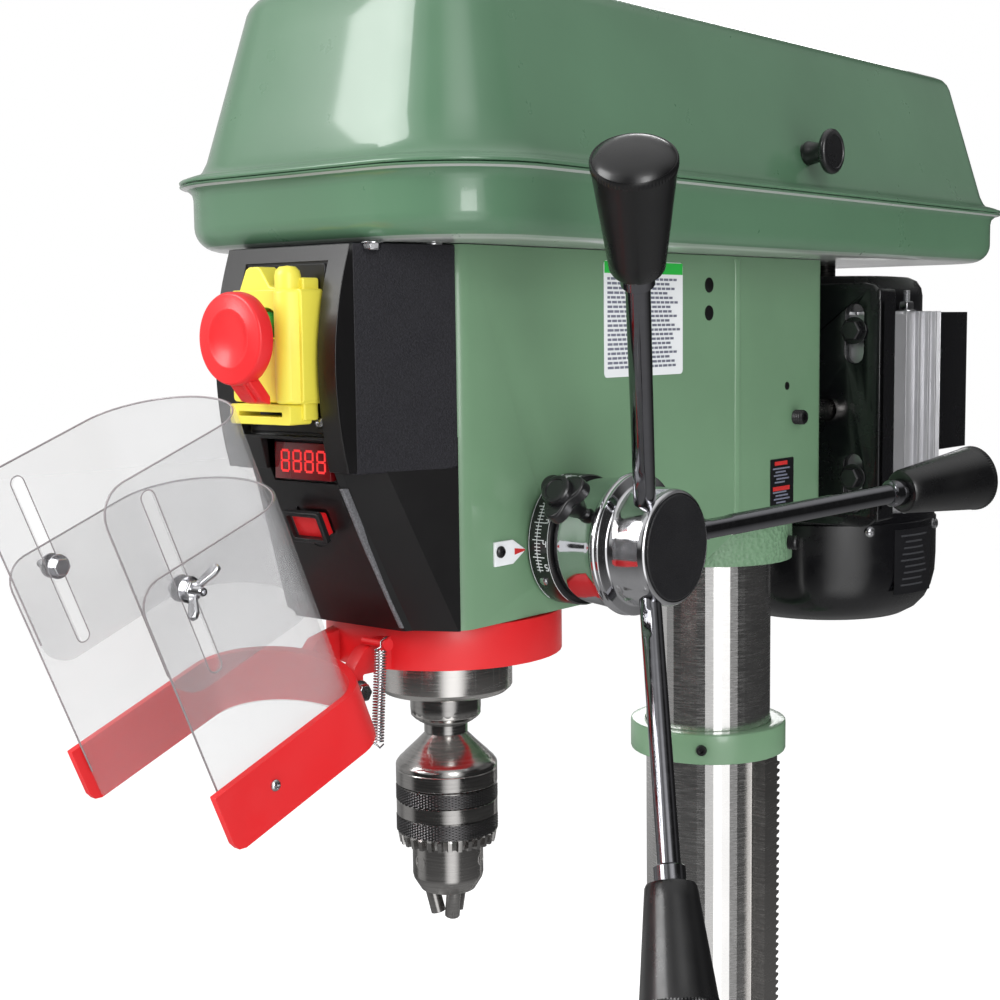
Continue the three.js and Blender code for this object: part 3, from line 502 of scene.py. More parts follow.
turned_steel = ground_metal("turned_steel", (0.66, 0.64, 0.62), 0.2)
dark_steel = ground_metal("dark_steel", (0.11, 0.105, 0.1), 0.26, variation=0.2)
chuck_steel = ground_metal("chuck_steel", (0.38, 0.37, 0.36), 0.17, variation=0.25)
knurl_steel = ground_metal("knurl_steel", (0.1, 0.098, 0.1), 0.34, variation=0.4)
bright_zinc = ground_metal("bright_zinc", (0.6, 0.6, 0.62), 0.2, streak=(300, 300, 300))
chrome = ground_metal("chrome", (0.62, 0.62, 0.64), 0.06, streak=(200, 200, 200), grain=0.003,
                      variation=0.06)
dark_chrome = ground_metal("dark_chrome", (0.2, 0.2, 0.215), 0.1, streak=(200, 200, 200), grain=0.003,
                           variation=0.1)
cast_iron = ground_metal("cast_iron", (0.3, 0.3, 0.3), 0.38, streak=(500, 90, 90), grain=0.02)
aluminium = ground_metal("aluminium", (0.6, 0.6, 0.62), 0.36, streak=(900, 900, 60), grain=0.02,
                         metallic=0.7)
white_print = coated("white_print", (0.82, 0.84, 0.86), roughness=0.4, coat=0.2, variation=0.03)
grey_print = coated("grey_print", (0.16, 0.17, 0.23), roughness=0.4, coat=0.2, variation=0.2)
green_print = coated("green_print", (0.02, 0.5, 0.06), roughness=0.4, coat=0.2, variation=0.1)
dim_print = coated("dim_print", (0.035, 0.036, 0.04), roughness=0.4, coat=0.2, variation=0.2)
red_print = coated("red_print", (0.55, 0.02, 0.02), roughness=0.4, coat=0.2, variation=0.1)
label_black = coated("label_black", (0.012, 0.012, 0.014), roughness=0.35, coat=0.2, metallic=0.3)
belt_rubber = textured_plastic("belt_rubber", (0.02, 0.02, 0.02), roughness=0.7)
clear_guard = clear_sheet("clear_polycarbonate", (0.45, 0.45, 0.46), 0.17)
clear_edge = coated("clear_polycarbonate_edge", (0.3, 0.27, 0.28), roughness=0.2, coat=0.5, variation=0.2)


def lit_red():
    material, nodes, links, bsdf = shader("display_red")
    glow = noise(nodes, links, coordinates(nodes, links), 600, 2)
    links.new(ramp(nodes, links, glow, (0.7, 0.01, 0.015), (1.0, 0.04, 0.04)), bsdf.inputs["Emission Color"])
    set_inputs(bsdf, Base_Color=(0.4, 0.01, 0.01, 1), Emission_Strength=0.8)
    return material


display_red = lit_red()
display_glass = coated("display_glass", (0.11, 0.002, 0.004), roughness=0.15, coat=0.8, variation=0.2)


# ------------------------------------------------------------------ CAD nodes that keep their shape
def dress(node, material, bevel=0.0, sharp=35.0, segments=2):
    obj = NODES[node]
    obj.data.materials.clear()
    obj.data.materials.append(material)
    shade(obj, sharp)
    if bevel:
        add_bevel(obj, bevel, segments, weld=True)
    return obj


for node, material, bevel in (
    ("base", green_paint, 3.0), ("column_flange", green_paint, 1.5), ("rack_collar", green_paint, 1.0),
    ("table_bracket", green_paint, 1.5), ("table_support", green_paint, 1.5),
    ("head_casting", casting_paint, 1.2), ("belt_pan", pan_paint_lit_underside, 1.0), ("belt_lid", lid_paint, 0.6),
    ("crank_arm", green_paint, 1.0), ("column", column_steel, 0.0), ("rack", turned_steel, 0.3),
    ("table", cast_iron, 0.8), ("crank_shaft", turned_steel, 0.4), ("crank_grip", knob_black, 0.5),
    ("column_lock_lever", black_enamel, 0.5), ("table_lock_lever", black_enamel, 0.5),
    ("front_panel", black_plastic, 0.8), ("switch_body", yellow_plastic, 0.8),
    ("stop_paddle", red_plastic, 0.8), ("start_button", green_plastic, 0.8),
    ("rpm_display", display_glass, 0.3), ("light_switch", red_plastic, 0.6),
    ("lid_knob", satin_black, 0.6), ("spindle_pulley", aluminium, 0.3), ("idler_pulley", aluminium, 0.3),
    ("motor_pulley", aluminium, 0.3), ("idler_arm", dark_steel, 0.4), ("belt_front", belt_rubber, 0.4),
    ("belt_rear", belt_rubber, 0.4), ("motor_body", aluminium, 0.3), ("motor_bottom_bell", black_enamel, 0.8),
    ("motor_top_bell", black_enamel, 0.8), ("motor_rotor", dark_steel, 0.3), ("motor_box", black_enamel, 1.5),
    ("motor_plate", black_enamel, 0.8), ("slide_bar_left", turned_steel, 0.3),
    ("slide_bar_right", turned_steel, 0.3), ("quill", turned_steel, 0.4), ("spindle", turned_steel, 0.3),
    ("chuck_body", chuck_steel, 0.3), ("chuck_sleeve", chuck_steel, 0.3), ("chuck_jaw_1", chuck_steel, 0.2),
    ("chuck_jaw_2", chuck_steel, 0.2), ("chuck_jaw_3", chuck_steel, 0.2), ("guard_ring", red_plastic, 0.8),
    ("guard_frame", red_plastic, 0.8), ("guard_shield", clear_guard, 0.3),
    ("shield_extension", clear_guard, 0.3), ("guard_spring", bright_zinc, 0.2),
    ("feed_shaft", dark_steel, 0.3), ("feed_hub", chrome, 0.5), ("feed_handle_1", chrome, 0.3),
    ("feed_handle_2", chrome, 0.3), ("feed_handle_3", chrome, 0.3), ("feed_knob_1", knob_black, 0.4),
    ("feed_knob_2", knob_black, 0.4), ("feed_knob_3", knob_black, 0.4), ("depth_ring", satin_black, 0.4),
    ("depth_lock_knob", satin_black, 0.5), ("return_spring_can", black_enamel, 0.8),
):
    dress(node, material, bevel)


# ------------------------------------------------------------------ small parts used all over
def circle(r, sides, turn=0.0):
    return [(r * math.cos(TAU * (i + turn) / sides), r * math.sin(TAU * (i + turn) / sides))
            for i in range(sides)]


def hex_bolt(name, at, direction, across, height, body, material=None, washer=True):
    """A hexagon head on its washer."""
    material = material or bright_zinc
    place = facing(at, direction)
    r = across / math.sqrt(3)
    head = loft_data([[place @ Vector((x * k, y * k, h)) for x, y in circle(r, 6)]
                      for h, k in ((0, 1), (height * 0.82, 1), (height, 0.86))])
    parts = [head]
    if washer:
        parts.append(lathe_data([(0, -0.6), (r * 1.25, -0.6), (r * 1.25, 0.3), (0, 0.3)], 32, place))
    return add_object(name, *merge_data(*parts), material, body, bevel=0.25)


def round_screw(name, at, direction, r, body, material=None, cross=True):
    """A pan-head screw with a cross recess."""
    material = material or bright_zinc
    place = facing(at, direction)
    head = lathe_data([(0, -0.5), (r, -0.5), (r, r * 0.3), (r * 0.8, r * 0.55), (r * 0.45, r * 0.68),
                       (0, r * 0.72)], 32, place)
    cutters = []
    if cross:
        for long, short in ((0.55, 0.13), (0.13, 0.55)):
            outline = rounded(-r * long, -r * short, r * long, r * short, r * 0.05, 1)
            cutters.append(prism_data(outline, r * 0.3, r * 2, place))
    return finish_mesh(name, boolean_mesh(head, cutters), material, body)


def threaded(name, at, direction, r, length, body, material, pitch=1.25):
    """A threaded stud with a socket in its end."""
    profile = [(0, -1), (r * 0.86, -1)]
    for i in range(int(length / pitch)):
        profile += [(r * 0.86, i * pitch), (r, (i + 0.5) * pitch)]
    profile += [(r * 0.86, length), (r * 0.5, length), (r * 0.42, length - r * 0.6), (0, length - r * 0.6)]
    return lathe(name, profile, material, body, facing(at, direction), 32, sharp=20)


SEGMENTS = {  # the seven bars of a digit: x in widths, y in half heights, and whether the bar stands
    "a": (0, 1, 0), "b": (0.5, 0.5, 1), "c": (0.5, -0.5, 1), "d": (0, -1, 0),
    "e": (-0.5, -0.5, 1), "f": (-0.5, 0.5, 1), "g": (0, 0, 0),
}
DIGITS = {"1": "bc", "2": "abged", "3": "abgcd", "4": "fgbc", "5": "afgcd", "8": "abcdefg"}


def digit_rects(digit, x, y, width, height, stroke):
    """Rectangles (x0, y0, x1, y1) that draw a digit about x, y."""
    rects = []
    for key in DIGITS[digit]:
        u, v, upright = SEGMENTS[key]
        cx, cy = x + u * width, y + v * height / 2
        half_x = stroke / 2 if upright else width / 2 - stroke * 0.3
        half_y = height / 4 - stroke * 0.3 if upright else stroke / 2
        rects.append((cx - half_x, cy - half_y, cx + half_x, cy + half_y))
    return rects


def printed(name, rects, place, material, body, thickness=0.12):
    """Thin flat marks on a plane whose X and Y are place's."""
    parts = [prism_data([(x0, y0), (x1, y0), (x1, y1), (x0, y1)], 0, thickness, place)
             for x0, y0, x1, y1 in rects]
    return add_object(name, *merge_data(*parts), material, body)


def wrapped(name, rects, r, place, material, body, thickness=0.15):
    """Thin marks bent round a cylinder: x is along its axis and y is the angle in degrees."""
    parts = []
    for x0, a0, x1, a1 in rects:
        steps = max(1, int(abs(a1 - a0) / 3))
        rings = []
        for i in range(steps + 1):
            a = math.radians(a0 + (a1 - a0) * i / steps)
            c, s = math.cos(a), math.sin(a)
            section = ((r - 0.2, x0), (r + thickness, x0), (r + thickness, x1), (r - 0.2, x1))
            rings.append([place @ Vector((k * c, k * s, x)) for k, x in section])
        parts.append(loft_data(rings))
    return add_object(name, *merge_data(*parts), material, body)


# ------------------------------------------------------------------ feed hub, handles and depth ring
FEED = facing((0, FEED_Y, FEED_Z), (1, 0, 0))  # its Z is the shaft, its X is +Y and its Y is +Z


def make_hub():
    profile = [(0, 61.2), (26.6, 61.2), (26.6, 74.8), (30.2, 74.9), (31, 76), (31.5, 80), (32.2, 88),
               (33.1, 95), (33.8, 98.6), (34.6, 99.7), (35.4, 100.2), (35.7, 101), (35.5, 102.0),
               (34.7, 102.5), (34.5, 103), (34.9, 103.4), (35.4, 103.9), (35.4, 104.9), (34.6, 105.6),
               (31, 106.1), (30, 106.9), (29.4, 108.6), (29.2, 112), (28.9, 123.4), (28.5, 125.8),
               (27.7, 126.9), (26.7, 127.3), (26.3, 126.6), (0, 126.4)]
    hub = lathe("hub", profile, chrome, "feed", FEED, 128, sharp=40)
    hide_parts("feed_hub")
    lathe("hub_cap", [(0, 126), (26.1, 126), (26.1, 127.4), (25.4, 127.9), (0, 128.1)], cap_black, "feed",
          FEED, 96)


HANDLE_LEAN = math.radians(20.4)
HANDLE_FIRST = math.radians(5.1)
HANDLE_ORIGIN = Vector((109, FEED_Y, FEED_Z + 2))


def make_handles():
    rows = [(0, 20), (5.4, 20), (5.4, 37), (5.4, 39), (5.4, 51), (5.4, 53), (5.4, 160), (6.6, 160.4),
            (7.4, 161.2), (7.4, 168), (0, 168)]
    knob = [(0, 168.6), (5.6, 168.6), (9.4, 168.2), (11.2, 168.9), (12, 170.4)]
    knob += [(12 + 5.4 * t / 8, 170.4 + 48.6 * t / 8) for t in range(1, 9)]
    knob += [(17.8, 220.2), (17.9, 221), (17.9, 223.2), (17.4, 223.8), (16.9, 223.5), (16.4, 224.1),
             (14, 225.8), (10, 227.2), (5, 228.1), (0, 228.4)]
    rim = {row for row, point in enumerate(knob) if 220.1 < point[1] < 223.3}
    for i in range(3):
        angle = HANDLE_FIRST + i * TAU / 3
        direction = Vector((math.sin(HANDLE_LEAN), math.cos(HANDLE_LEAN) * math.cos(angle),
                            math.cos(HANDLE_LEAN) * math.sin(angle)))
        place = facing(HANDLE_ORIGIN, direction, (1, 0, 0))
        verts, faces = lathe_data(rows, 32)
        for v in verts:
            if 38.5 < v.z < 51.5:  # the two flats for a spanner
                v.x = max(-4.4, min(4.4, v.x))
        rod = add_object(f"handle_rod_{i + 1}", [place @ v for v in verts], faces, dark_chrome, "feed",
                         sharp=28)
        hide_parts(f"feed_handle_{i + 1}")
        grip = lathe(f"handle_knob_{i + 1}", knob, knob_black, "feed", place, 144, sharp=30,
                     relief=lambda row, k: 0.35 * (k % 2) if row in rim else 0)
        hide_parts(f"feed_knob_{i + 1}")


def make_depth_ring():
    r = 33.2
    profile = [(27.3, 60.9), (32.6, 60.9), (r, 61.5), (r, 73.4), (32.5, 74.3), (27.3, 74.3), (27.3, 60.9)]
    ring = lathe("depth_scale_ring", profile, satin_black, "depth_ring", FEED, 128)
    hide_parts("depth_ring")
    marks = [(66.5, 98, 66.8, 204)]
    for k, angle in enumerate(range(100, 205, 3)):
        reach = 4.4 if k % 5 == 0 else 2.2
        marks.append((66.6 - reach * 0.6, angle - 0.35, 66.6 + reach, angle + 0.35))
    marks += [(61.6, 98, 61.8, 240), (73.1, 98, 73.3, 240)]
    for k, digit in enumerate("12345"):
        for x0, y0, x1, y1 in digit_rects(digit, 71.4, 0, 1.7, 3.2, 0.4):
            middle = 115 + 21 * k
            marks.append((x0, middle - y1 * 1.75, x1, middle - y0 * 1.75))
    wrapped("depth_scale_marks", marks, r, FEED, white_print, "depth_ring")
    a = math.radians(213)
    round_screw("depth_ring_rivet", FEED @ Vector((r * math.cos(a), r * math.sin(a), 67)),
                (0, math.cos(a), math.sin(a)), 2.3, "depth_ring", cross=False)


def make_depth_pointer():
    plate = facing((HEAD_SIDE, -278, 1391.5), (1, 0, 0))
    outline = [(-9, -6), (5, -6), (14.5, -0.4), (14.5, 0.4), (5, 6), (-9, 6)]
    prism("depth_pointer", outline, 0, 1.3, white_print, "stand", plate, bevel=0.3)
    tip = [(6, -1.6), (14, -0.4), (14, 0.4), (6, 1.6)]
    prism("depth_pointer_tip", tip, 1.2, 1.45, red_print, "stand", plate, bevel=0)
    round_screw("depth_pointer_screw", (HEAD_SIDE + 1.3, -283, 1392.5), (1, 0, 0), 2.9, "stand", label_black)


def make_lock_knob():
    angle = math.radians(147.5)
    out = Vector((0, math.cos(angle), math.sin(angle)))
    place = facing(Vector((90, FEED_Y, FEED_Z)) + out * 31.5, out, (1, 0, 0))
    stem = [(0, 0), (3.4, 0), (3.4, 3), (4.6, 4), (8, 15), (8.6, 17), (0, 17)]
    lathe("lock_knob_stem", stem, satin_black, "depth_lock", place, 48)
    lobes = []
    for i in range(72):
        a = TAU * i / 72
        r = 8.2 + 5.6 * max(0.0, math.cos(1.5 * a)) ** 2.2 + 5.6 * max(0.0, -math.cos(1.5 * a)) ** 2.2
        lobes.append((r * math.cos(a), r * math.sin(a)))
    head = prism("lock_knob", lobes, 15, 22.5, satin_black, "depth_lock", place, bevel=1.2, segments=3)
    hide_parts("depth_lock_knob")
    disc = [(0, 22), (7.6, 22), (7.6, 25.4), (6.9, 26.1), (5.4, 26.2), (5.1, 25.6), (0, 25.6)]
    lathe("lock_knob_disc", disc, satin_black, "depth_lock", place, 48)


# ------------------------------------------------------------------ casting, its labels and its screws
def make_casting_bead():
    """The upright bead where the casting's side meets its column sleeve."""
    bead = [(-66.2 + 6.4 * t / 8, 1.5 * math.sin(math.pi * t / 8) ** 0.7) for t in range(9)]
    rings = [[Vector((HEAD_SIDE + out * k, y, z)) for y, out in [*bead, (-59.8, -1), (-66.2, -1)]]
             for z, k in ((1381, 0.2), (1384, 1), (1535, 1), (1538.5, 0.3))]
    add_object("casting_bead", *loft_data(rings), casting_paint, "stand", sharp=60)


def word_bars(y, starts, length, row):
    """Short bars of uneven length, one line of an unreadable notice."""
    bars = []
    for start in starts:
        word = start
        while word < start + length:
            width = 2.2 + ((row * 5 + int(word * 3)) % 4)
            bars.append((word, y - 0.65, min(word + width, start + 33), y + 0.65))
            word += width + 0.9
    return bars


def make_notices():
    side = facing((HEAD_SIDE, 0, 0), (1, 0, 0))  # its X is +Y and its Y is +Z
    printed_side = side @ Matrix.Translation((0, 0, 0.3))
    prism("notice", rounded(-195, 1474, -121, 1535, 2.5), 0.02, 0.3, white_print, "stand", side, bevel=0.1)
    printed("notice_band", [(-194.6, 1528.4, -121.4, 1534.6)], printed_side, green_print, "stand")
    bars = []
    for row in range(20):
        bars += word_bars(1525.6 - row * 2.45, (-192, -157), 30 - (row * 7 % 11), row)
    printed("notice_lines", bars, printed_side, grey_print, "stand")
    prism("small_notice", rounded(-25, 1390, 3, 1419, 1), 0.02, 0.3, label_black, "stand", side, bevel=0.1)
    bands = [(-20, 1415, -5, 1417.4), (-22, 1399.4, -2, 1402)]
    printed("small_notice_red", bands, printed_side, red_print, "stand")
    lines = []
    for row in range(9):
        y = 1412.5 - row * 2.1 - (4 if row > 4 else 0)
        lines.append((-22 + row * 3 % 5, y, -2 - row * 5 % 7, y + 1))
    printed("small_notice_lines", lines, printed_side, grey_print, "stand")


def make_casting_screws():
    # Flat black discs with a raised lip stand for three holes in the casting; their black is painted shade
    # for the holes' insides.
    for i, (y, z, r) in enumerate(((-93.7, 1523.2, 4.2), (-93.7, 1507.5, 4.2), (-5.4, 1463, 2.4))):
        rim = [(0, 0.12), (r * 0.82, 0.12), (r * 0.9, 0.25), (r, 0.3), (r * 1.04, -0.3)]
        lathe(f"casting_hole_shade_{i + 1}", rim, smooth_black, "stand",
              facing((HEAD_SIDE + 0.1, y, z), (1, 0, 0)), 32)
    threaded("casting_setscrew", (HEAD_SIDE - 1, 4.7, 1443.5), (1, 0, 0), 4.6, 8, "stand", satin_black)
    for name, r, degrees, z, size, length in (("sleeve_setscrew", 51, 13.5, 1364, 4.6, 8),
                                              ("collar_setscrew", 49.5, -62, 1237.5, 3.4, 3)):
        out = Vector((math.cos(math.radians(degrees)), math.sin(math.radians(degrees)), 0))
        threaded(name, out * r + Vector((0, 0, z)), out, size, length, "stand", satin_black)


# ------------------------------------------------------------------ front panel
BACK_Y = -310.9
CHEEK_X, CHEEK_Y = 46, -345.6  # the bend in the panel's cheeks
EDGE_X, EDGE_Y = 40.6, -359.5  # where the cheeks meet the raised plate
CHIN_TOP = 1436
CHIN = ((1357.4, 38, -327), (1380, 35, -337.4), (1402, 32, -347), (1424, 29, -357), (1436.4, 28, -362.5),
        (1450, 28, -364))  # height, half width and Y of the face of the chin
DISPLAY_CUT = (-14, -390, 1430)


def slant(z):
    """The corner of the panel's slanting sides, which run out to the casting at the bottom."""
    t = (CHIN_TOP - z) / (CHIN_TOP - 1357)
    return CHEEK_X + 13.3 * t, CHEEK_Y + 33.8 * t


def mirrored(points, z):
    """Half an outline and its mirror image about X = 0, at height z."""
    return [(x, y, z) for x, y in points] + [(-x, y, z) for x, y in reversed(points)]


def make_panel():
    upper = [mirrored([(59.5, BACK_Y), (CHEEK_X, CHEEK_Y), (EDGE_X, EDGE_Y)], z) for z in (1435, 1539.7)]
    lower = [mirrored([(59.5, BACK_Y + 0.3), slant(z)], z) for z in (1357.3, CHIN_TOP)]
    cheeks = add_object("panel_cheeks", *merge_data(loft_data(upper), loft_data(lower)), black_plastic,
                        "stand", bevel=0.6)
    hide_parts("front_panel")
    face = smooth_curve([(-364.5, 1436), (-368.5, 1452), (-371.3, 1475), (-371, 1497), (-367, 1520),
                         (-361, 1539.4)])
    plate = prism_data([(-352, 1436), *face, (-352, 1539.4)], -EDGE_X, EDGE_X, SIDEWAYS)
    mesh = boolean_mesh(plate, [box_data((-26, -390, 1452), (29, PLATE_FACE, 1532)),
                                box_data(DISPLAY_CUT, (28, -356, 1450.5))])
    finish_mesh("panel_plate", mesh, smooth_black, "stand", bevel=0.5)
    outline = rounded(-24.5, 1453.4, 27.6, 1531, 1.5)
    prism("switch_backplate", outline, -PLATE_FACE, 1.1 - PLATE_FACE, smooth_black, "stand", FORWARDS,
          bevel=0.4)
    for i, (x, z) in enumerate(((4.5, 1527.8), (22.5, 1458.6), (-20, 1458.6))):
        round_screw(f"backplate_screw_{i + 1}", (x, PLATE_FACE - 1.1, z), (0, -1, 0), 2.7, "stand")


def make_chin():
    """The lower half of the panel, with the lamp switch's frame, an oval recess and two raised strips whose
    light grey is a painted highlight along the chin's edges.
    """
    rings = []
    for z, half, y in CHIN:
        right = [(59.5, BACK_Y), slant(z), (half + 1.6, y + 4), (half, y + 0.8), (half - 1.5, y)]
        rings.append(mirrored(right, z))
    lean = math.radians(24.4)
    well = facing((4.3, -355.6, 1409.4), (0, -math.cos(lean), -math.sin(lean)))
    oval = [(x * 1.6 - 3.7, y - 12.2) for x, y in circle(3.0, 28)]
    cuts = [prism_data(rounded(-10.6, -6.6, 10.6, 6.6, 1.2), -6, 8, well), prism_data(oval, -5, 8, well),
            box_data(DISPLAY_CUT, (28, -356, 1460))]
    finish_mesh("panel_chin", boolean_mesh(loft_data(rings), cuts), smooth_black, "stand", sharp=25)
    mesh = boolean_mesh(prism_data(rounded(-12.2, -8.2, 12.2, 8.2, 1.6), 0.5, 3.4, well),
                        [prism_data(rounded(-10, -6, 10, 6, 1), -3, 9, well)])
    finish_mesh("rocker_frame", mesh, satin_black, "stand", bevel=0.3)
    # Raised strips down the chin's two edges, painted light grey as a highlight.
    for side, x, number in ((-1, -27.3, 1), (1, 30.3, 2)):
        rings = []
        for z, y, out in ((1428, -359.3, -0.6), (1402, -347.7, 1.2), (1372, -334.1, 4.6),
                          (1359, -328.3, 6.4)):
            middle = x + side * out
            rings.append([Vector((middle - 1.1, y, z)), Vector((middle + 1.1, y, z)),
                          Vector((middle + 1.1, y + 4, z)), Vector((middle - 1.1, y + 4, z))])
        add_object(f"panel_edge_highlight_strip_{number}", *loft_data(rings), edge_highlight_grey, "stand", bevel=0.4)


def make_display():
    bars = []
    for k in range(4):
        bars += digit_rects("8", -4.2 + 8.0 * k, 1440, 5.0, 9.6, 1.15)
    parts = [prism_data([(x0, y0), (x1, y0), (x1, y1), (x0, y1)], 361.7, 361.85, FORWARDS)
             for x0, y0, x1, y1 in bars]
    add_object("display_digits", *merge_data(*parts), display_red, "stand")


# ------------------------------------------------------------------ switch
SWITCH_BACK = 363.4  # how far forward the switch's back is


def switch_block(name, outline, depth0, depth1, bevel=0.8, cutters=()):
    """An (x, z) outline of yellow plastic between two depths in front of the switch's back."""
    block = prism_data(outline, SWITCH_BACK + depth0, SWITCH_BACK + depth1, FORWARDS)
    cuts = [prism_data(cut, SWITCH_BACK + start, SWITCH_BACK + 30, FORWARDS) for cut, start in cutters]
    return finish_mesh(name, boolean_mesh(block, cuts), yellow_plastic, "stand", bevel=bevel, segments=3)


def make_switch():
    button_hole = [(x + 2.5, z + 1503) for x, z in circle(8.2, 32)]
    housing = switch_block("switch_housing", rounded(-21, 1468, 26.2, 1519.5, 2.2), 0, 14.5, 1.2,
                           [(button_hole, 5)])
    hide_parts("switch_body")
    rib = [(10.6, 0), (10.6, 13.4)]
    for t in range(1, 12):
        a = math.pi * t / 14
        rib.append((17.2 - 6.6 * math.cos(a), 13.4 + 7.4 * math.sin(a)))
    rib += [(24.4, 14.6), (25.6, 12), (25.6, 0)]
    rings = [[Vector((17.6 + (x - 17.6) * k, -SWITCH_BACK - d * k, z)) for x, d in rib]
             for z, k in ((1467.6, 0.93), (1469, 1), (1518, 1), (1519.4, 0.93))]
    add_object("switch_rib", *loft_data(rings), yellow_plastic, "stand", sharp=50, bevel=0.4)
    line = box_data((11.4, -SWITCH_BACK - 21.4, 1497), (13.4, -SWITCH_BACK - 15, 1497.7))
    add_object("switch_rib_line", *merge_data(line), yellow_plastic, "stand")
    cap = [(0, 1516), (6, 1516), (6, 1525.4), (5.5, 1527.6), (3.8, 1529.4), (0, 1530)]
    place = Matrix.Translation((16.2, -SWITCH_BACK - 13, 0))
    lathe("switch_rib_cap", cap, yellow_plastic, "stand", place, 40)
    switch_block("switch_rib_step", rounded(12, 1516, 24, 1524.5, 1.2), 1, 11)
    crown = [(-17, 1518), (-11.5, 1529), (-9, 1530), (-3.5, 1530), (-1.6, 1529), (4.5, 1520.8), (9.5, 1520.4),
             (9.5, 1518)]
    switch_block("switch_crown", crown, 2, 13.4)
    slot = rounded(-12, 1461.9, 17, 1464.0, 0.6)
    switch_block("switch_tab", rounded(-18, 1458.2, 22.5, 1467.4, 1.6), 6, 19.5, 0.7, [(slot, 0)])
    switch_block("switch_tab_root", rounded(12, 1460, 24, 1469, 1.2), 3, 12)


def strap_block(name, x0, x1, outline, bevel):
    """A (y, z) outline of red plastic between two X positions."""
    rings = [[Vector((x, y, z)) for y, z in outline] for x in (x0, x1)]
    add_object(name, *loft_data(rings), red_plastic, "stop_paddle", bevel=bevel)


def make_paddle():
    front = PLATE_FACE - 40.4
    profile = [(0, -7), (19.4, -7), (20.6, -6.4), (20.9, -5), (20.7, 0), (20.2, 0.9), (19.2, 1.2),
               (14.6, 1.0), (13.6, 1.7), (12.4, 1.7), (11.6, 0.9), (0, 0.5)]
    place = facing((7.5, front, 1497.5), (0, -1, 0))
    disc = lathe("paddle_disc", profile, red_plastic, "stop_paddle", place, 96, sharp=50)
    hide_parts("stop_paddle")
    strap_block("paddle_strap", 1.6, 16, [
        (front + 1.2, 1484), (front + 3, 1477.5), (front + 10, 1469.3), (front + 15, 1467.8),
        (front + 15, 1471.5), (front + 8, 1480), (front + 6, 1486)], 0.6)
    strap_block("paddle_strap_rib", 10.5, 12.5, [
        (front + 0.4, 1480), (front + 9.3, 1468.6), (front + 11, 1470), (front + 3, 1481)], 0.4)


# ------------------------------------------------------------------ chuck guard
GUARD_TURN = GUARD_FRAME.to_3x3()
ACROSS = GUARD.to_3x3() @ Vector((1, 0, 0))
# The sheets' edges: half width, distance of the legs' ends, lowest and highest point and corner radius.
SHEET = {"half": 53.0, "start": 5.5, "low": 1.2, "high": 125, "corner": 12}
SLIDER = {"half": 50.3, "start": 6.5, "low": 70.5, "high": 167.5, "corner": 14}
STUD = (28.5, 114)  # a stud's distance from the leg ends and its height; SLOT is a slot's middle
SLOT = (28, 117)
SLOT_OUTLINE = rounded(-3.4, -43, 3.4, 43, 3.3)


def u_outline(half, thickness, reach, start, bend=29.0, steps=28):
    """Two legs joined by a bend, seen from above, with their ends at start."""
    def arc(h, depth):
        return [(h * math.cos(math.pi * i / steps), reach - bend + depth * math.sin(math.pi * i / steps))
                for i in range(steps + 1)]
    inner = list(reversed(arc(half - thickness, bend - thickness)))
    return [(half, start), *arc(half, bend), (-half, start), (-half + thickness, start), *inner,
            (half - thickness, start)]


def u_sheet(half, thickness, reach, start, low, high, corners, steps=6):
    """A bent sheet; corners are the radii of its leg ends at the bottom and the top."""
    bottom, top = corners
    rows = []
    for k in range(steps + 1):
        a = math.pi / 2 * k / steps
        rows.append((low + bottom * (1 - math.cos(a)), bottom * (1 - math.sin(a))))
    for k in range(steps + 1):
        a = math.pi / 2 * (1 - k / steps)
        rows.append((high - top * (1 - math.cos(a)), top * (1 - math.sin(a))))
    rings = []
    for z, inset in rows:
        outline = u_outline(half, thickness, reach, start + inset)
        rings.append([GUARD_FRAME @ Vector((x, y, z)) for x, y in outline])
    return loft_data(rings)


def leg_place(side, half, y, z):
    """A place on a leg of the guard, whose Z points outwards."""
    return facing(GUARD_FRAME @ Vector((side * half, y, z)), GUARD_TURN @ Vector((side, 0, 0)),
                  GUARD_TURN @ Vector((0, 0, 1)))


def sheet_edge(name, body, half, start, low, high, corner):
    """A bead along a sheet's upper edge and down the ends of its legs."""
    def rounded_end(side, steps):
        return [(side * half, start + corner * (1 - math.sin(a)), high - corner * (1 - math.cos(a)))
                for a in (math.pi / 2 * k / 6 for k in steps)]
    rim = [(x, y, high) for x, y in u_outline(half, 0.1, half + 49.6, start + corner)[:31]]
    path = [(half, start, low + 14), *rounded_end(1, range(6, 0, -1)), *rim, *rounded_end(-1, range(1, 7)),
            (-half, start, low + 14)]
    bead = tube_data([GUARD_FRAME @ Vector(p) for p in path], 0.45, 6)
    add_object(name, *bead, clear_edge, body, sharp=60)


def make_guard_band():
    band = add_object("guard_band", *u_sheet(58.4, 4.0, 108, 0.5, 0, 29, (5, 0.5), 2), red_plastic,
                      "chuck_guard", sharp=30, bevel=0.5)
    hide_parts("guard_frame")
    barrel = lathe_data([(0, -12), (5.8, -12), (5.8, 12), (0, 12)], 40,
                        facing(GUARD_FRAME @ Vector((0, 111.8, 6.2)), GUARD_TURN @ Vector((1, 0, 0))))
    ear = prism_data(rounded(-12, 104, 12, 112, 1.5), 1, 12, GUARD_FRAME)
    add_object("guard_lug", *merge_data(ear, barrel), red_plastic, "chuck_guard", bevel=0.6)
    hex_bolt("hinge_nut", GUARD @ Vector((23, *HINGE[1:])), ACROSS, 8, 4.5, "quill")
    hex_bolt("hinge_head", GUARD @ Vector((-23, *HINGE[1:])), -ACROSS, 8, 4.5, "quill")
    forwards = GUARD.to_3x3() @ Vector((0, -1, 0))
    round_screw("hinge_bracket_screw", GUARD @ Vector((10, -62.5, 1345)), forwards, 3, "quill", red_plastic)


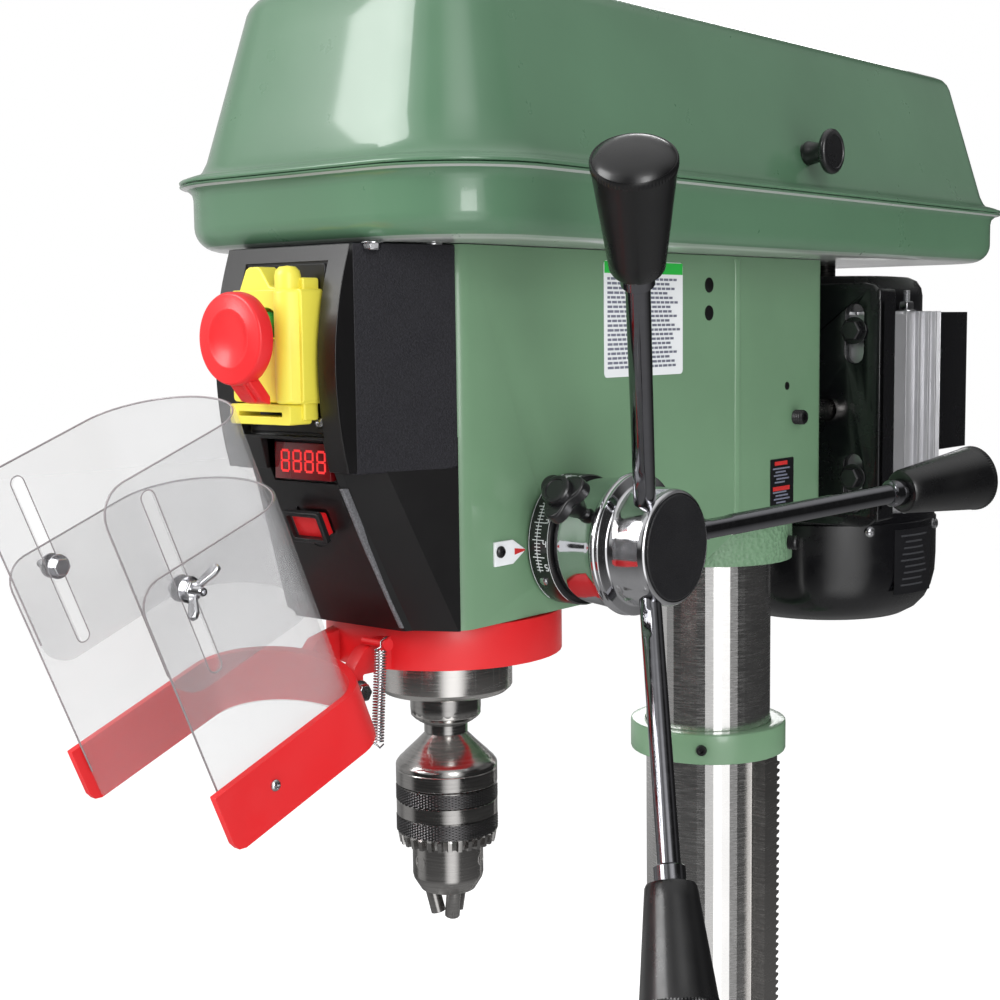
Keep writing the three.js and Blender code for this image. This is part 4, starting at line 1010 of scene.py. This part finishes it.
def make_guard_sheets():
    lower = u_sheet(54.0, 2.0, 103.6, SHEET["start"], SHEET["low"], SHEET["high"], (1, SHEET["corner"]))
    sheet = add_object("guard_sheet", *lower, clear_guard, "chuck_guard", sharp=50)
    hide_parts("guard_shield")
    corners = (SLIDER["corner"], SLIDER["corner"])
    upper = u_sheet(51.3, 2.0, 100.9, SLIDER["start"], SLIDER["low"], SLIDER["high"], corners)
    slots = [prism_data(SLOT_OUTLINE, -6, 6, leg_place(side, 50, *SLOT)) for side in (-1, 1)]
    mesh = boolean_mesh(upper, slots)
    slider = finish_mesh("sliding_sheet", mesh, clear_guard, "shield_extension", sharp=50)
    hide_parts("shield_extension")
    sheet_edge("guard_sheet_edge", "chuck_guard", **SHEET)
    sheet_edge("sliding_sheet_edge", "shield_extension", **SLIDER)
    for side, tag in ((1, "right"), (-1, "left")):
        rim = [leg_place(side, 51.6, *SLOT) @ Vector((x, y, 0)) for x, y in SLOT_OUTLINE]
        add_object(f"slot_edge_{tag}", *tube_data(rim, 0.3, 6, closed=True), clear_edge, "shield_extension")


def make_guard_fasteners():
    """Studs and nuts that hold the sliding sheet, the wing nut and the screws of the band."""
    for side, tag in ((1, "right"), (-1, "left")):
        out = GUARD_TURN @ Vector((side, 0, 0))
        place = leg_place(side, 54.2, *STUD)
        hex_bolt(f"sheet_nut_{tag}", place.translation, out, 8, 4, "chuck_guard")
        threaded(f"sheet_stud_{tag}", place @ Vector((0, 0, 3)), out, 2, 7, "chuck_guard", bright_zinc, 0.8)
        hex_bolt(f"sheet_bolt_{tag}", leg_place(side, 47.9, *STUD).translation, -out, 8, 3.5, "chuck_guard")
        screw = leg_place(side, 58.4, 29.4, 16.1)
        round_screw(f"guard_leg_screw_{tag}", screw.translation, out, 2.6, "chuck_guard")
    wing = [(1.5, 2), (4, 3), (11, 7.5), (13, 10.5), (11.5, 13), (8.5, 12.4), (4, 8), (1.5, 6.5)]
    turned = leg_place(1, 54.2, *STUD) @ Matrix.Rotation(math.radians(35), 4, "Z")
    for side, tag in ((-1, "b"), (1, "a")):
        upright = turned @ Matrix(((side, 0, 0, 0), (0, 0, 1, 0), (0, 1, 0, 0), (0, 0, 0, 1)))
        prism(f"wing_nut_{tag}", wing, -1.1, 1.1, bright_zinc, "chuck_guard", upright, bevel=0.7, segments=3)


def make_spring():
    """A pull spring that stretches between the quill and the guard, and the peg it hangs on."""
    start, end = Vector((33.4, -74.4, 1348)), Vector((38.6, -82.0, 1305.5))
    axis = (end - start).normalized()
    side = axis.orthogonal().normalized()
    other = axis.cross(side)
    turns, steps, r = 32, 14, 2.7
    path = [start - axis * 3 + Vector((0, 4, 3)), start - axis * 3.2 + Vector((0, 0, 1)), start - axis * 1.5]
    for i in range(turns * steps + 1):
        a = TAU * i / steps
        path.append(start.lerp(end, i / (turns * steps)) + (side * math.cos(a) + other * math.sin(a)) * r)
    path += [end + axis * 1.5, end + axis * 3 + Vector((0, 1.5, 0)), end + axis * 3.5 + Vector((0, 4, 2))]
    coil = tube_data([GUARD @ p for p in path], 0.46, 6)
    spring = add_object("spring", *coil, bright_zinc, None, sharp=60)
    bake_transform(spring)
    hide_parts("guard_spring")
    peg = [(0, 18), (1.9, 18), (1.9, 34.5), (3, 34.5), (3, 36), (0, 36)]
    lathe("spring_peg", peg, red_plastic, "quill", facing(GUARD @ Vector((0, -71.5, 1350.5)), ACROSS), 24)


# ------------------------------------------------------------------ quill nose and chuck
def make_nose():
    quill = [(24.5, 1356), (35.4, 1356), (35.4, 1316), (34.9, 1314.2), (32.6, 1312.1), (19.5, 1311.8),
             (19.5, 1314)]
    lathe("quill_end", quill, turned_steel, "quill", SPINDLE, 96)
    nose = [(0, 1313), (18.6, 1313), (18.7, 1303), (18.4, 1300), (17.2, 1298.2), (15.4, 1297.2), (15, 1296),
            (11.5, 1294), (11.5, 1289.5), (0, 1289)]
    lathe("spindle_nose", nose, chuck_steel, "spindle", SPINDLE, 96)


def make_chuck():
    body = [(0, 1290), (10.6, 1290), (11.2, 1288.9), (16.5, 1283.6), (22.2, 1278.2), (23.4, 1276.9),
            (25.2, 1275.3), (26.6, 1273.4), (26.9, 1272.4), (26.9, 1271.2), (26.5, 1270.7), (26.9, 1270.2),
            (26.9, 1263), (26.4, 1262.2), (19, 1262.2)]
    chuck = lathe("chuck_dome", body, chuck_steel, "spindle", SPINDLE, 128, sharp=20)
    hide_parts("chuck_body")
    lower = [(19, 1237), (19, 1230.5), (18.8, 1229), (18.8, 1213), (18.2, 1210.6), (14.5, 1204.6),
             (12, 1204.2), (7.6, 1204.2), (7.4, 1212), (0, 1212)]
    lathe("chuck_nose", lower, chuck_steel, "spindle", SPINDLE, 96, sharp=28)
    for k in range(3):
        a = math.radians(20 + 120 * k)
        out = Vector((math.cos(a), math.sin(a), 0))
        middle = Vector((0, SPINDLE_Y, 1221.5))
        rim = [(0, -1.4), (2.6, -1.4), (3.0, 0.35), (3.8, 0.35), (4.1, -0.6)]
        lathe(f"key_hole_{k + 1}", rim, chuck_steel, "spindle", facing(middle + out * 18.4, out), 32)
        # a thin black disc inside each key hole, painted shade for the hole's depth
        lathe(f"key_hole_shade_{k + 1}", [(0, 0), (2.7, 0), (2.7, 0.2), (0, 0.2)], smooth_black, "spindle",
              facing(middle + out * 17.6, out), 24)


def make_chuck_sleeve():
    """The chuck's sleeve: bright bands, two knurled bands and a ring of gear teeth."""
    band = [(20.3, 1261.9), (26.2, 1261.9), (26.2, 1254.0), (26.8, 1253.5), (26.8, 1246.2), (26.2, 1245.7),
            (26.2, 1237.2), (25.9, 1237.0), (26.3, 1236.0), (25.4, 1230.8), (20.3, 1230.8), (20.3, 1261.9)]
    teeth = {8: 1.6, 9: 3.4}  # how deep the gaps between the teeth are in two rows of the band
    ring = lathe("chuck_ring", band, chuck_steel, "chuck_sleeve", SPINDLE, 240, sharp=24,
                 relief=lambda row, i: teeth.get(row, 0) * (i // 4 % 2))
    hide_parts("chuck_sleeve")
    for k, (low, high) in enumerate(((1254.2, 1261.4), (1237.4, 1245.4))):
        rows = int((high - low) / 0.7)
        profile = [(25.8, high)]
        profile += [(27.0, high - (high - low) * i / rows) for i in range(rows + 1)]
        profile += [(25.8, low), (25.8, high)]
        lathe(f"chuck_knurl_{k + 1}", profile, knurl_steel, "chuck_sleeve", SPINDLE, 200, sharp=20,
              relief=lambda row, i, last=rows + 1: 0.45 * ((i // 2 + row) % 2) if 0 < row <= last else 0)


# ------------------------------------------------------------------ motor
def make_motor():
    lower = [(9, 1300), (46, 1297), (58, 1299), (66, 1303.5), (72, 1310), (76, 1318), (78.4, 1328),
             (79, 1340), (79, 1366), (77.8, 1367), (77.8, 1369), (79, 1370), (79, 1373.4), (70, 1373.4)]
    bell = lathe("motor_lower_bell", lower, black_enamel, "motor", MOTOR, 112, sharp=50)
    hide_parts("motor_bottom_bell")
    upper = [(60, 1508), (67.5, 1508), (67.5, 1519), (66.6, 1524), (63.5, 1528.8), (58, 1531.4), (50, 1532.2),
             (9, 1532.2)]
    cap = lathe("motor_upper_bell", upper, black_enamel, "motor", MOTOR, 112, sharp=50)
    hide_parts("motor_top_bell")
    wrapped("motor_nameplate", [(1318, -24, 1362, 6)], 79.0, MOTOR, label_black, "motor", 0.4)
    lines = []
    for row in range(9):
        z = 1357.0 - row * 4.2
        lines.append((z, -20 + row * 3 % 4, z + 1.2, 1 - row * 5 % 6))
    wrapped("motor_nameplate_lines", lines, 79.45, MOTOR, dim_print, "motor", 0.1)
    for k, degrees in enumerate((-38, 14, 110, 200)):
        a = math.radians(degrees)
        out = Vector((math.cos(a), math.sin(a), 0))
        round_screw(f"bell_screw_{k + 1}", Vector((0, MOTOR_Y, 1362)) + out * 79, out, 3.6, "motor")
    for k, degrees in enumerate((-14, 60, 145, 235)):
        a = math.radians(degrees)
        at = (73.6 * math.cos(a), MOTOR_Y + 73.6 * math.sin(a), 1508.6)
        hex_bolt(f"tie_nut_{k + 1}", at, (0, 0, 1), 9, 6, "motor")
        threaded(f"tie_stud_{k + 1}", (at[0], at[1], 1514), (0, 0, 1), 2.6, 8, "motor", bright_zinc, 1.0)
    for side, tag in ((1, "right"), (-1, "left")):
        outline = [(side * 84, 1374), (side * 88, 1374), (side * 88, 1522), (side * 84, 1522)]
        prism(f"motor_plate_lip_{tag}", outline, MOTOR_PLATE_Y, MOTOR_PLATE_Y + 22, black_enamel, "motor",
              BACKWARDS, bevel=1.8, segments=3)
        for row, z in (("upper", 1496), ("lower", 1402)):
            place = (side * 70, MOTOR_PLATE_Y - 0.6, z)
            hex_bolt(f"plate_bolt_{row}_{tag}", place, (0, -1, 0), 12, 6, "motor", satin_black)
    box = boolean_mesh(prism_data(rounded(-61, 197, 61, 258, 6), 1410, 1507.6),
                       [lathe_data([(0, 1400), (80.6, 1400), (80.6, 1520), (0, 1520)], 96, MOTOR)])
    shell = finish_mesh("wiring_box", box, black_enamel, "motor", bevel=1.6, segments=3)
    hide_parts("motor_box")
    for k, (x, z) in enumerate(((-50, 1420), (50, 1420), (-50, 1498), (50, 1498))):
        round_screw(f"wiring_box_screw_{k + 1}", (x, 258, z), (0, 1, 0), 3, "motor")


# ------------------------------------------------------------------ rack and belt guard
def make_rack():
    """The rack's teeth are cut in its edge, and its outer face is plain."""
    low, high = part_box("rack")
    z0, z1 = low.z / MM, high.z / MM
    pitch, root, tip, edge = 5.0, 5.8, 9.0, -9.0
    outline = [(edge, z0), (root, z0)]
    for i in range(int((z1 - z0) / pitch)):
        z = z0 + i * pitch
        outline += [(root, z + 0.6), (tip, z + 1.7), (tip, z + 3.2), (root, z + 4.3)]
    outline += [(root, z1), (edge, z1)]
    rack = prism("rack_teeth", outline, low.x / MM, high.x / MM, turned_steel, "rack", SIDEWAYS, bevel=0)
    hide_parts("rack")


def guard_outline(inset, z, front=54.0, rear=36.0, steps=10):
    """The belt guard's outline, inset from the pan's wall."""
    points = []
    for sx, sy, start in ((1, -1, -90), (1, 1, 0), (-1, 1, 90), (-1, -1, 180)):
        r = (front if sy < 0 else rear) - inset * 0.7
        cx = sx * (105 - inset - r)
        cy = (-357 + inset + r) if sy < 0 else (217 - inset - r)
        for i in range(steps + 1):
            a = math.radians(start + 90 * i / steps)
            points.append(Vector((cx + r * math.cos(a), cy + r * math.sin(a), z)))
    return points


def make_belt_guard():
    """The lid and the pan, each a list of insets from the pan's wall and heights round one closed shell."""
    lid = [(60, 1664), (37, 1663.8), (32, 1661.6), (29, 1656.5), (9, 1585.5), (6.6, 1581), (4, 1578.6),
           (0, 1577.4), (-3.4, 1576.2), (-3.8, 1574.4), (-5.2, 1573.4), (-6.0, 1573.8), (-6.1, 1574.6),
           (-5.4, 1575.4), (-3, 1575.9), (0, 1576.7), (2.6, 1578), (4.2, 1579.8), (5.1, 1581.6),
           (6.4, 1584.5)]
    lid += [(6.4 + 19.4 * t / 6, 1584.5 + 72 * t / 6) for t in range(1, 7)]
    lid += [(27.4, 1660), (30.2, 1663.2), (34.5, 1665.2), (40, 1666.1), (60, 1666.3)]
    rings = [guard_outline(*row) for row in lid]
    shell = add_object("lid_shell", *loft_data(rings), lid_paint, "lid", sharp=60)
    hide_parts("belt_lid")
    pan = [(40, 1540.3)]
    for k in range(9):
        a = math.pi / 2 * (1 - k / 8)
        pan.append((12 * (1 - math.cos(a)), 1540.4 + 12 * (1 - math.sin(a))))
    pan += [(0, 1566), (-0.6, 1569), (-2.6, 1571), (-5.4, 1571.8), (-6, 1572.4), (-5.6, 1573), (-3, 1573),
            (0, 1572.4), (2, 1570), (2.4, 1566), (2.4, 1553), (6, 1545.8), (12, 1542.6), (40, 1542.4)]
    rings = [guard_outline(*row) for row in pan]
    pan_shell = add_object("pan_shell", *loft_data(rings), pan_paint_lit_underside, "stand", sharp=60)
    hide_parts("belt_pan")
    lathe("lid_catch", [(0, 0), (4.2, 0), (4.2, 9), (3.4, 10), (0, 10)], bright_zinc, "lid",
          facing((93, -48, 1597), (-1, 0, 0)), 32)
    place = facing((96.6, -48, 1597), (1, 0, 0))
    washer = [(0, -4.5), (5.2, -4.5), (5.2, 0.4), (0, 0.4)]
    lathe("lid_knob_washer", washer, satin_black, "lid", place, 32)
    turned = [(0, 0), (6.6, 0), (6.9, 1), (6.4, 3), (5.6, 7), (6.2, 10.5), (10.5, 12.4), (12.2, 13.6),
              (12.7, 15), (12.4, 16.6), (11.2, 17.6), (9.6, 17.9), (9.2, 17.4), (0, 17.6)]
    knob = lathe("lid_knob_turned", turned, satin_black, "lid", place, 64, sharp=45)
    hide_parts("lid_knob")
    for k, (x, y) in enumerate(((46, -352), (52, -318), (-52, -318))):
        hex_bolt(f"pan_screw_{k + 1}", (x, y, 1539.6), (0, 0, -1), 7, 3.4, "stand")


make_hub()
make_handles()
make_depth_ring()
make_depth_pointer()
make_lock_knob()
make_casting_bead()
make_notices()
make_casting_screws()
make_panel()
make_chin()
make_display()
make_switch()
make_paddle()
make_guard_band()
make_guard_sheets()
make_guard_fasteners()
make_spring()
make_nose()
make_chuck()
make_chuck_sleeve()
make_motor()
make_rack()
make_belt_guard()


# ------------------------------------------------------------------ floor, light and camera
def add_stage():
    half = 14000
    verts = [(-half, -half, -1), (half, -half, -1), (half, half, -1), (-half, half, -1)]
    mesh = bpy.data.meshes.new("floor")
    mesh.from_pydata([Vector(v) * MM for v in verts], [], [(0, 1, 2, 3)])
    floor = bpy.data.objects.new("floor", mesh)
    bpy.context.scene.collection.objects.link(floor)
    pale = coated("pale_floor", (0.9, 0.9, 0.9), roughness=0.6, coat=0.0, variation=0.02)
    set_inputs(pale.node_tree.nodes["Principled BSDF"], Emission_Color=(1, 1, 1, 1), Emission_Strength=0.35)
    mesh.materials.append(pale)
    floor.visible_glossy = False


def area_light(name, location, target, size, power):
    light = bpy.data.lights.new(name, "AREA")
    light.shape = "RECTANGLE"
    light.size, light.size_y = size
    light.energy = power
    obj = bpy.data.objects.new(name, light)
    obj.location = location
    direction = Vector(target) - Vector(location)
    obj.rotation_euler = direction.to_track_quat("-Z", "Y").to_euler()
    bpy.context.scene.collection.objects.link(obj)
    obj.visible_camera = False


def direction_parts(nodes, links):
    """The height of a direction, and the level direction under it."""
    place = nodes.new("ShaderNodeTexCoord")
    split = nodes.new("ShaderNodeSeparateXYZ")
    links.new(place.outputs["Generated"], split.inputs[0])
    level = nodes.new("ShaderNodeVectorMath")
    level.operation = "MULTIPLY"
    level.inputs[1].default_value = (1, 1, 0)
    links.new(place.outputs["Generated"], level.inputs[0])
    heading = nodes.new("ShaderNodeVectorMath")
    heading.operation = "NORMALIZE"
    links.new(level.outputs[0], heading.inputs[0])
    return split.outputs["Z"], heading.outputs[0]


def combine(nodes, links, operation, a, b):
    node = nodes.new("ShaderNodeMath")
    node.operation = operation
    for k, value in enumerate((a, b)):
        if isinstance(value, (int, float)):
            node.inputs[k].default_value = value
        else:
            links.new(value, node.inputs[k])
    return node.outputs[0]


# Softboxes seen in reflections: heading in degrees (0 = +X, 90 = +Y), half width, edge, lowest and highest
# height (sine of the elevation) and brightness.
SOFTBOXES = (
    (-35, 6, 20, -0.7, 0.75, 1.4),
    (-150, 12, 12, -0.5, 0.8, 0.45),
    (62, 20, 12, 0.2, 0.8, 0.15),
    (-95, 10, 8, 0.1, 0.8, 0.55),
    (150, 30, 15, -0.3, 0.7, 0.5),
)


def reflected_room(nodes, links):
    """A dark room with a pale floor, a bright ceiling and upright softboxes."""
    height, heading = direction_parts(nodes, links)
    ceiling = combine(nodes, links, "MULTIPLY", masked(nodes, links, height, 0.55, 0.95), 0.9)
    ground = combine(nodes, links, "MULTIPLY", masked(nodes, links, height, -0.25, -0.8), 0.3)
    total = combine(nodes, links, "ADD", combine(nodes, links, "ADD", ceiling, ground), 0.035)
    for degrees, half, edge, low, high, level in SOFTBOXES:
        a = math.radians(degrees)
        along = nodes.new("ShaderNodeVectorMath")
        along.operation = "DOT_PRODUCT"
        along.inputs[1].default_value = (math.cos(a), math.sin(a), 0)
        links.new(heading, along.inputs[0])
        across = masked(nodes, links, along.outputs["Value"], math.cos(math.radians(half + edge)),
                        math.cos(math.radians(half)))
        upright = combine(nodes, links, "MULTIPLY", masked(nodes, links, height, low - 0.1, low + 0.1),
                          masked(nodes, links, height, high + 0.1, high - 0.1))
        box = combine(nodes, links, "MULTIPLY", combine(nodes, links, "MULTIPLY", across, upright), level)
        total = combine(nodes, links, "ADD", total, box)
    background = nodes.new("ShaderNodeBackground")
    links.new(total, background.inputs["Color"])
    return background


def add_world():
    """White to the camera, a soft studio to the surfaces, and a dark room with softboxes in reflections."""
    world = bpy.data.worlds.new("studio")
    bpy.context.scene.world = world
    world.use_nodes = True
    nodes, links = world.node_tree.nodes, world.node_tree.links
    white = nodes["Background"]
    set_inputs(white, Color=(1, 1, 1, 1), Strength=1.0)
    height = direction_parts(nodes, links)[0]
    soft = nodes.new("ShaderNodeBackground")
    links.new(ramp(nodes, links, masked(nodes, links, height, -1.0, 1.0), 0.36, 0.82, 0.3, 0.9),
              soft.inputs["Color"])
    room = reflected_room(nodes, links)
    path = nodes.new("ShaderNodeLightPath")
    glossy = nodes.new("ShaderNodeMixShader")
    links.new(path.outputs["Is Glossy Ray"], glossy.inputs[0])
    links.new(soft.outputs[0], glossy.inputs[1])
    links.new(room.outputs[0], glossy.inputs[2])
    seen = nodes.new("ShaderNodeMixShader")
    links.new(path.outputs["Is Camera Ray"], seen.inputs[0])
    links.new(glossy.outputs[0], seen.inputs[1])
    links.new(white.outputs[0], seen.inputs[2])
    links.new(seen.outputs[0], nodes["World Output"].inputs["Surface"])


def add_camera():
    """The camera stands in front and to the right, at head height, looking a little down."""
    azimuth, pitch, roll = math.radians(39.741), math.radians(6.096), math.radians(0.707)
    forward = Vector((-math.sin(azimuth) * math.cos(pitch), math.cos(azimuth) * math.cos(pitch),
                      -math.sin(pitch)))
    right = Vector((math.cos(azimuth), math.sin(azimuth), 0))
    down = forward.cross(right)
    level_right = right * math.cos(roll) + down * math.sin(roll)
    level_down = down * math.cos(roll) - right * math.sin(roll)
    camera = bpy.data.objects.new("camera", bpy.data.cameras.new("camera"))
    rotation = Matrix((level_right, -level_down, -forward)).transposed().to_4x4()
    camera.matrix_world = Matrix.Translation(Vector((0.5648, -0.8883, 1.502))) @ rotation
    camera.data.sensor_width = 36.0
    camera.data.lens = 58.88
    camera.data.clip_start = 0.02
    bpy.context.scene.collection.objects.link(camera)
    bpy.context.scene.camera = camera


add_stage()
add_world()
add_camera()
area_light("key", (-1.3, -2.4, 2.9), (0, -0.15, 1.4), (1.6, 1.6), 60)
area_light("side", (2.6, -1.9, 2.3), (0, -0.1, 1.4), (0.9, 2.2), 38)
area_light("rear", (-1.6, 2.4, 2.6), (0, 0, 1.4), (1.2, 1.6), 30)
bpy.context.scene.view_settings.view_transform = "Standard"
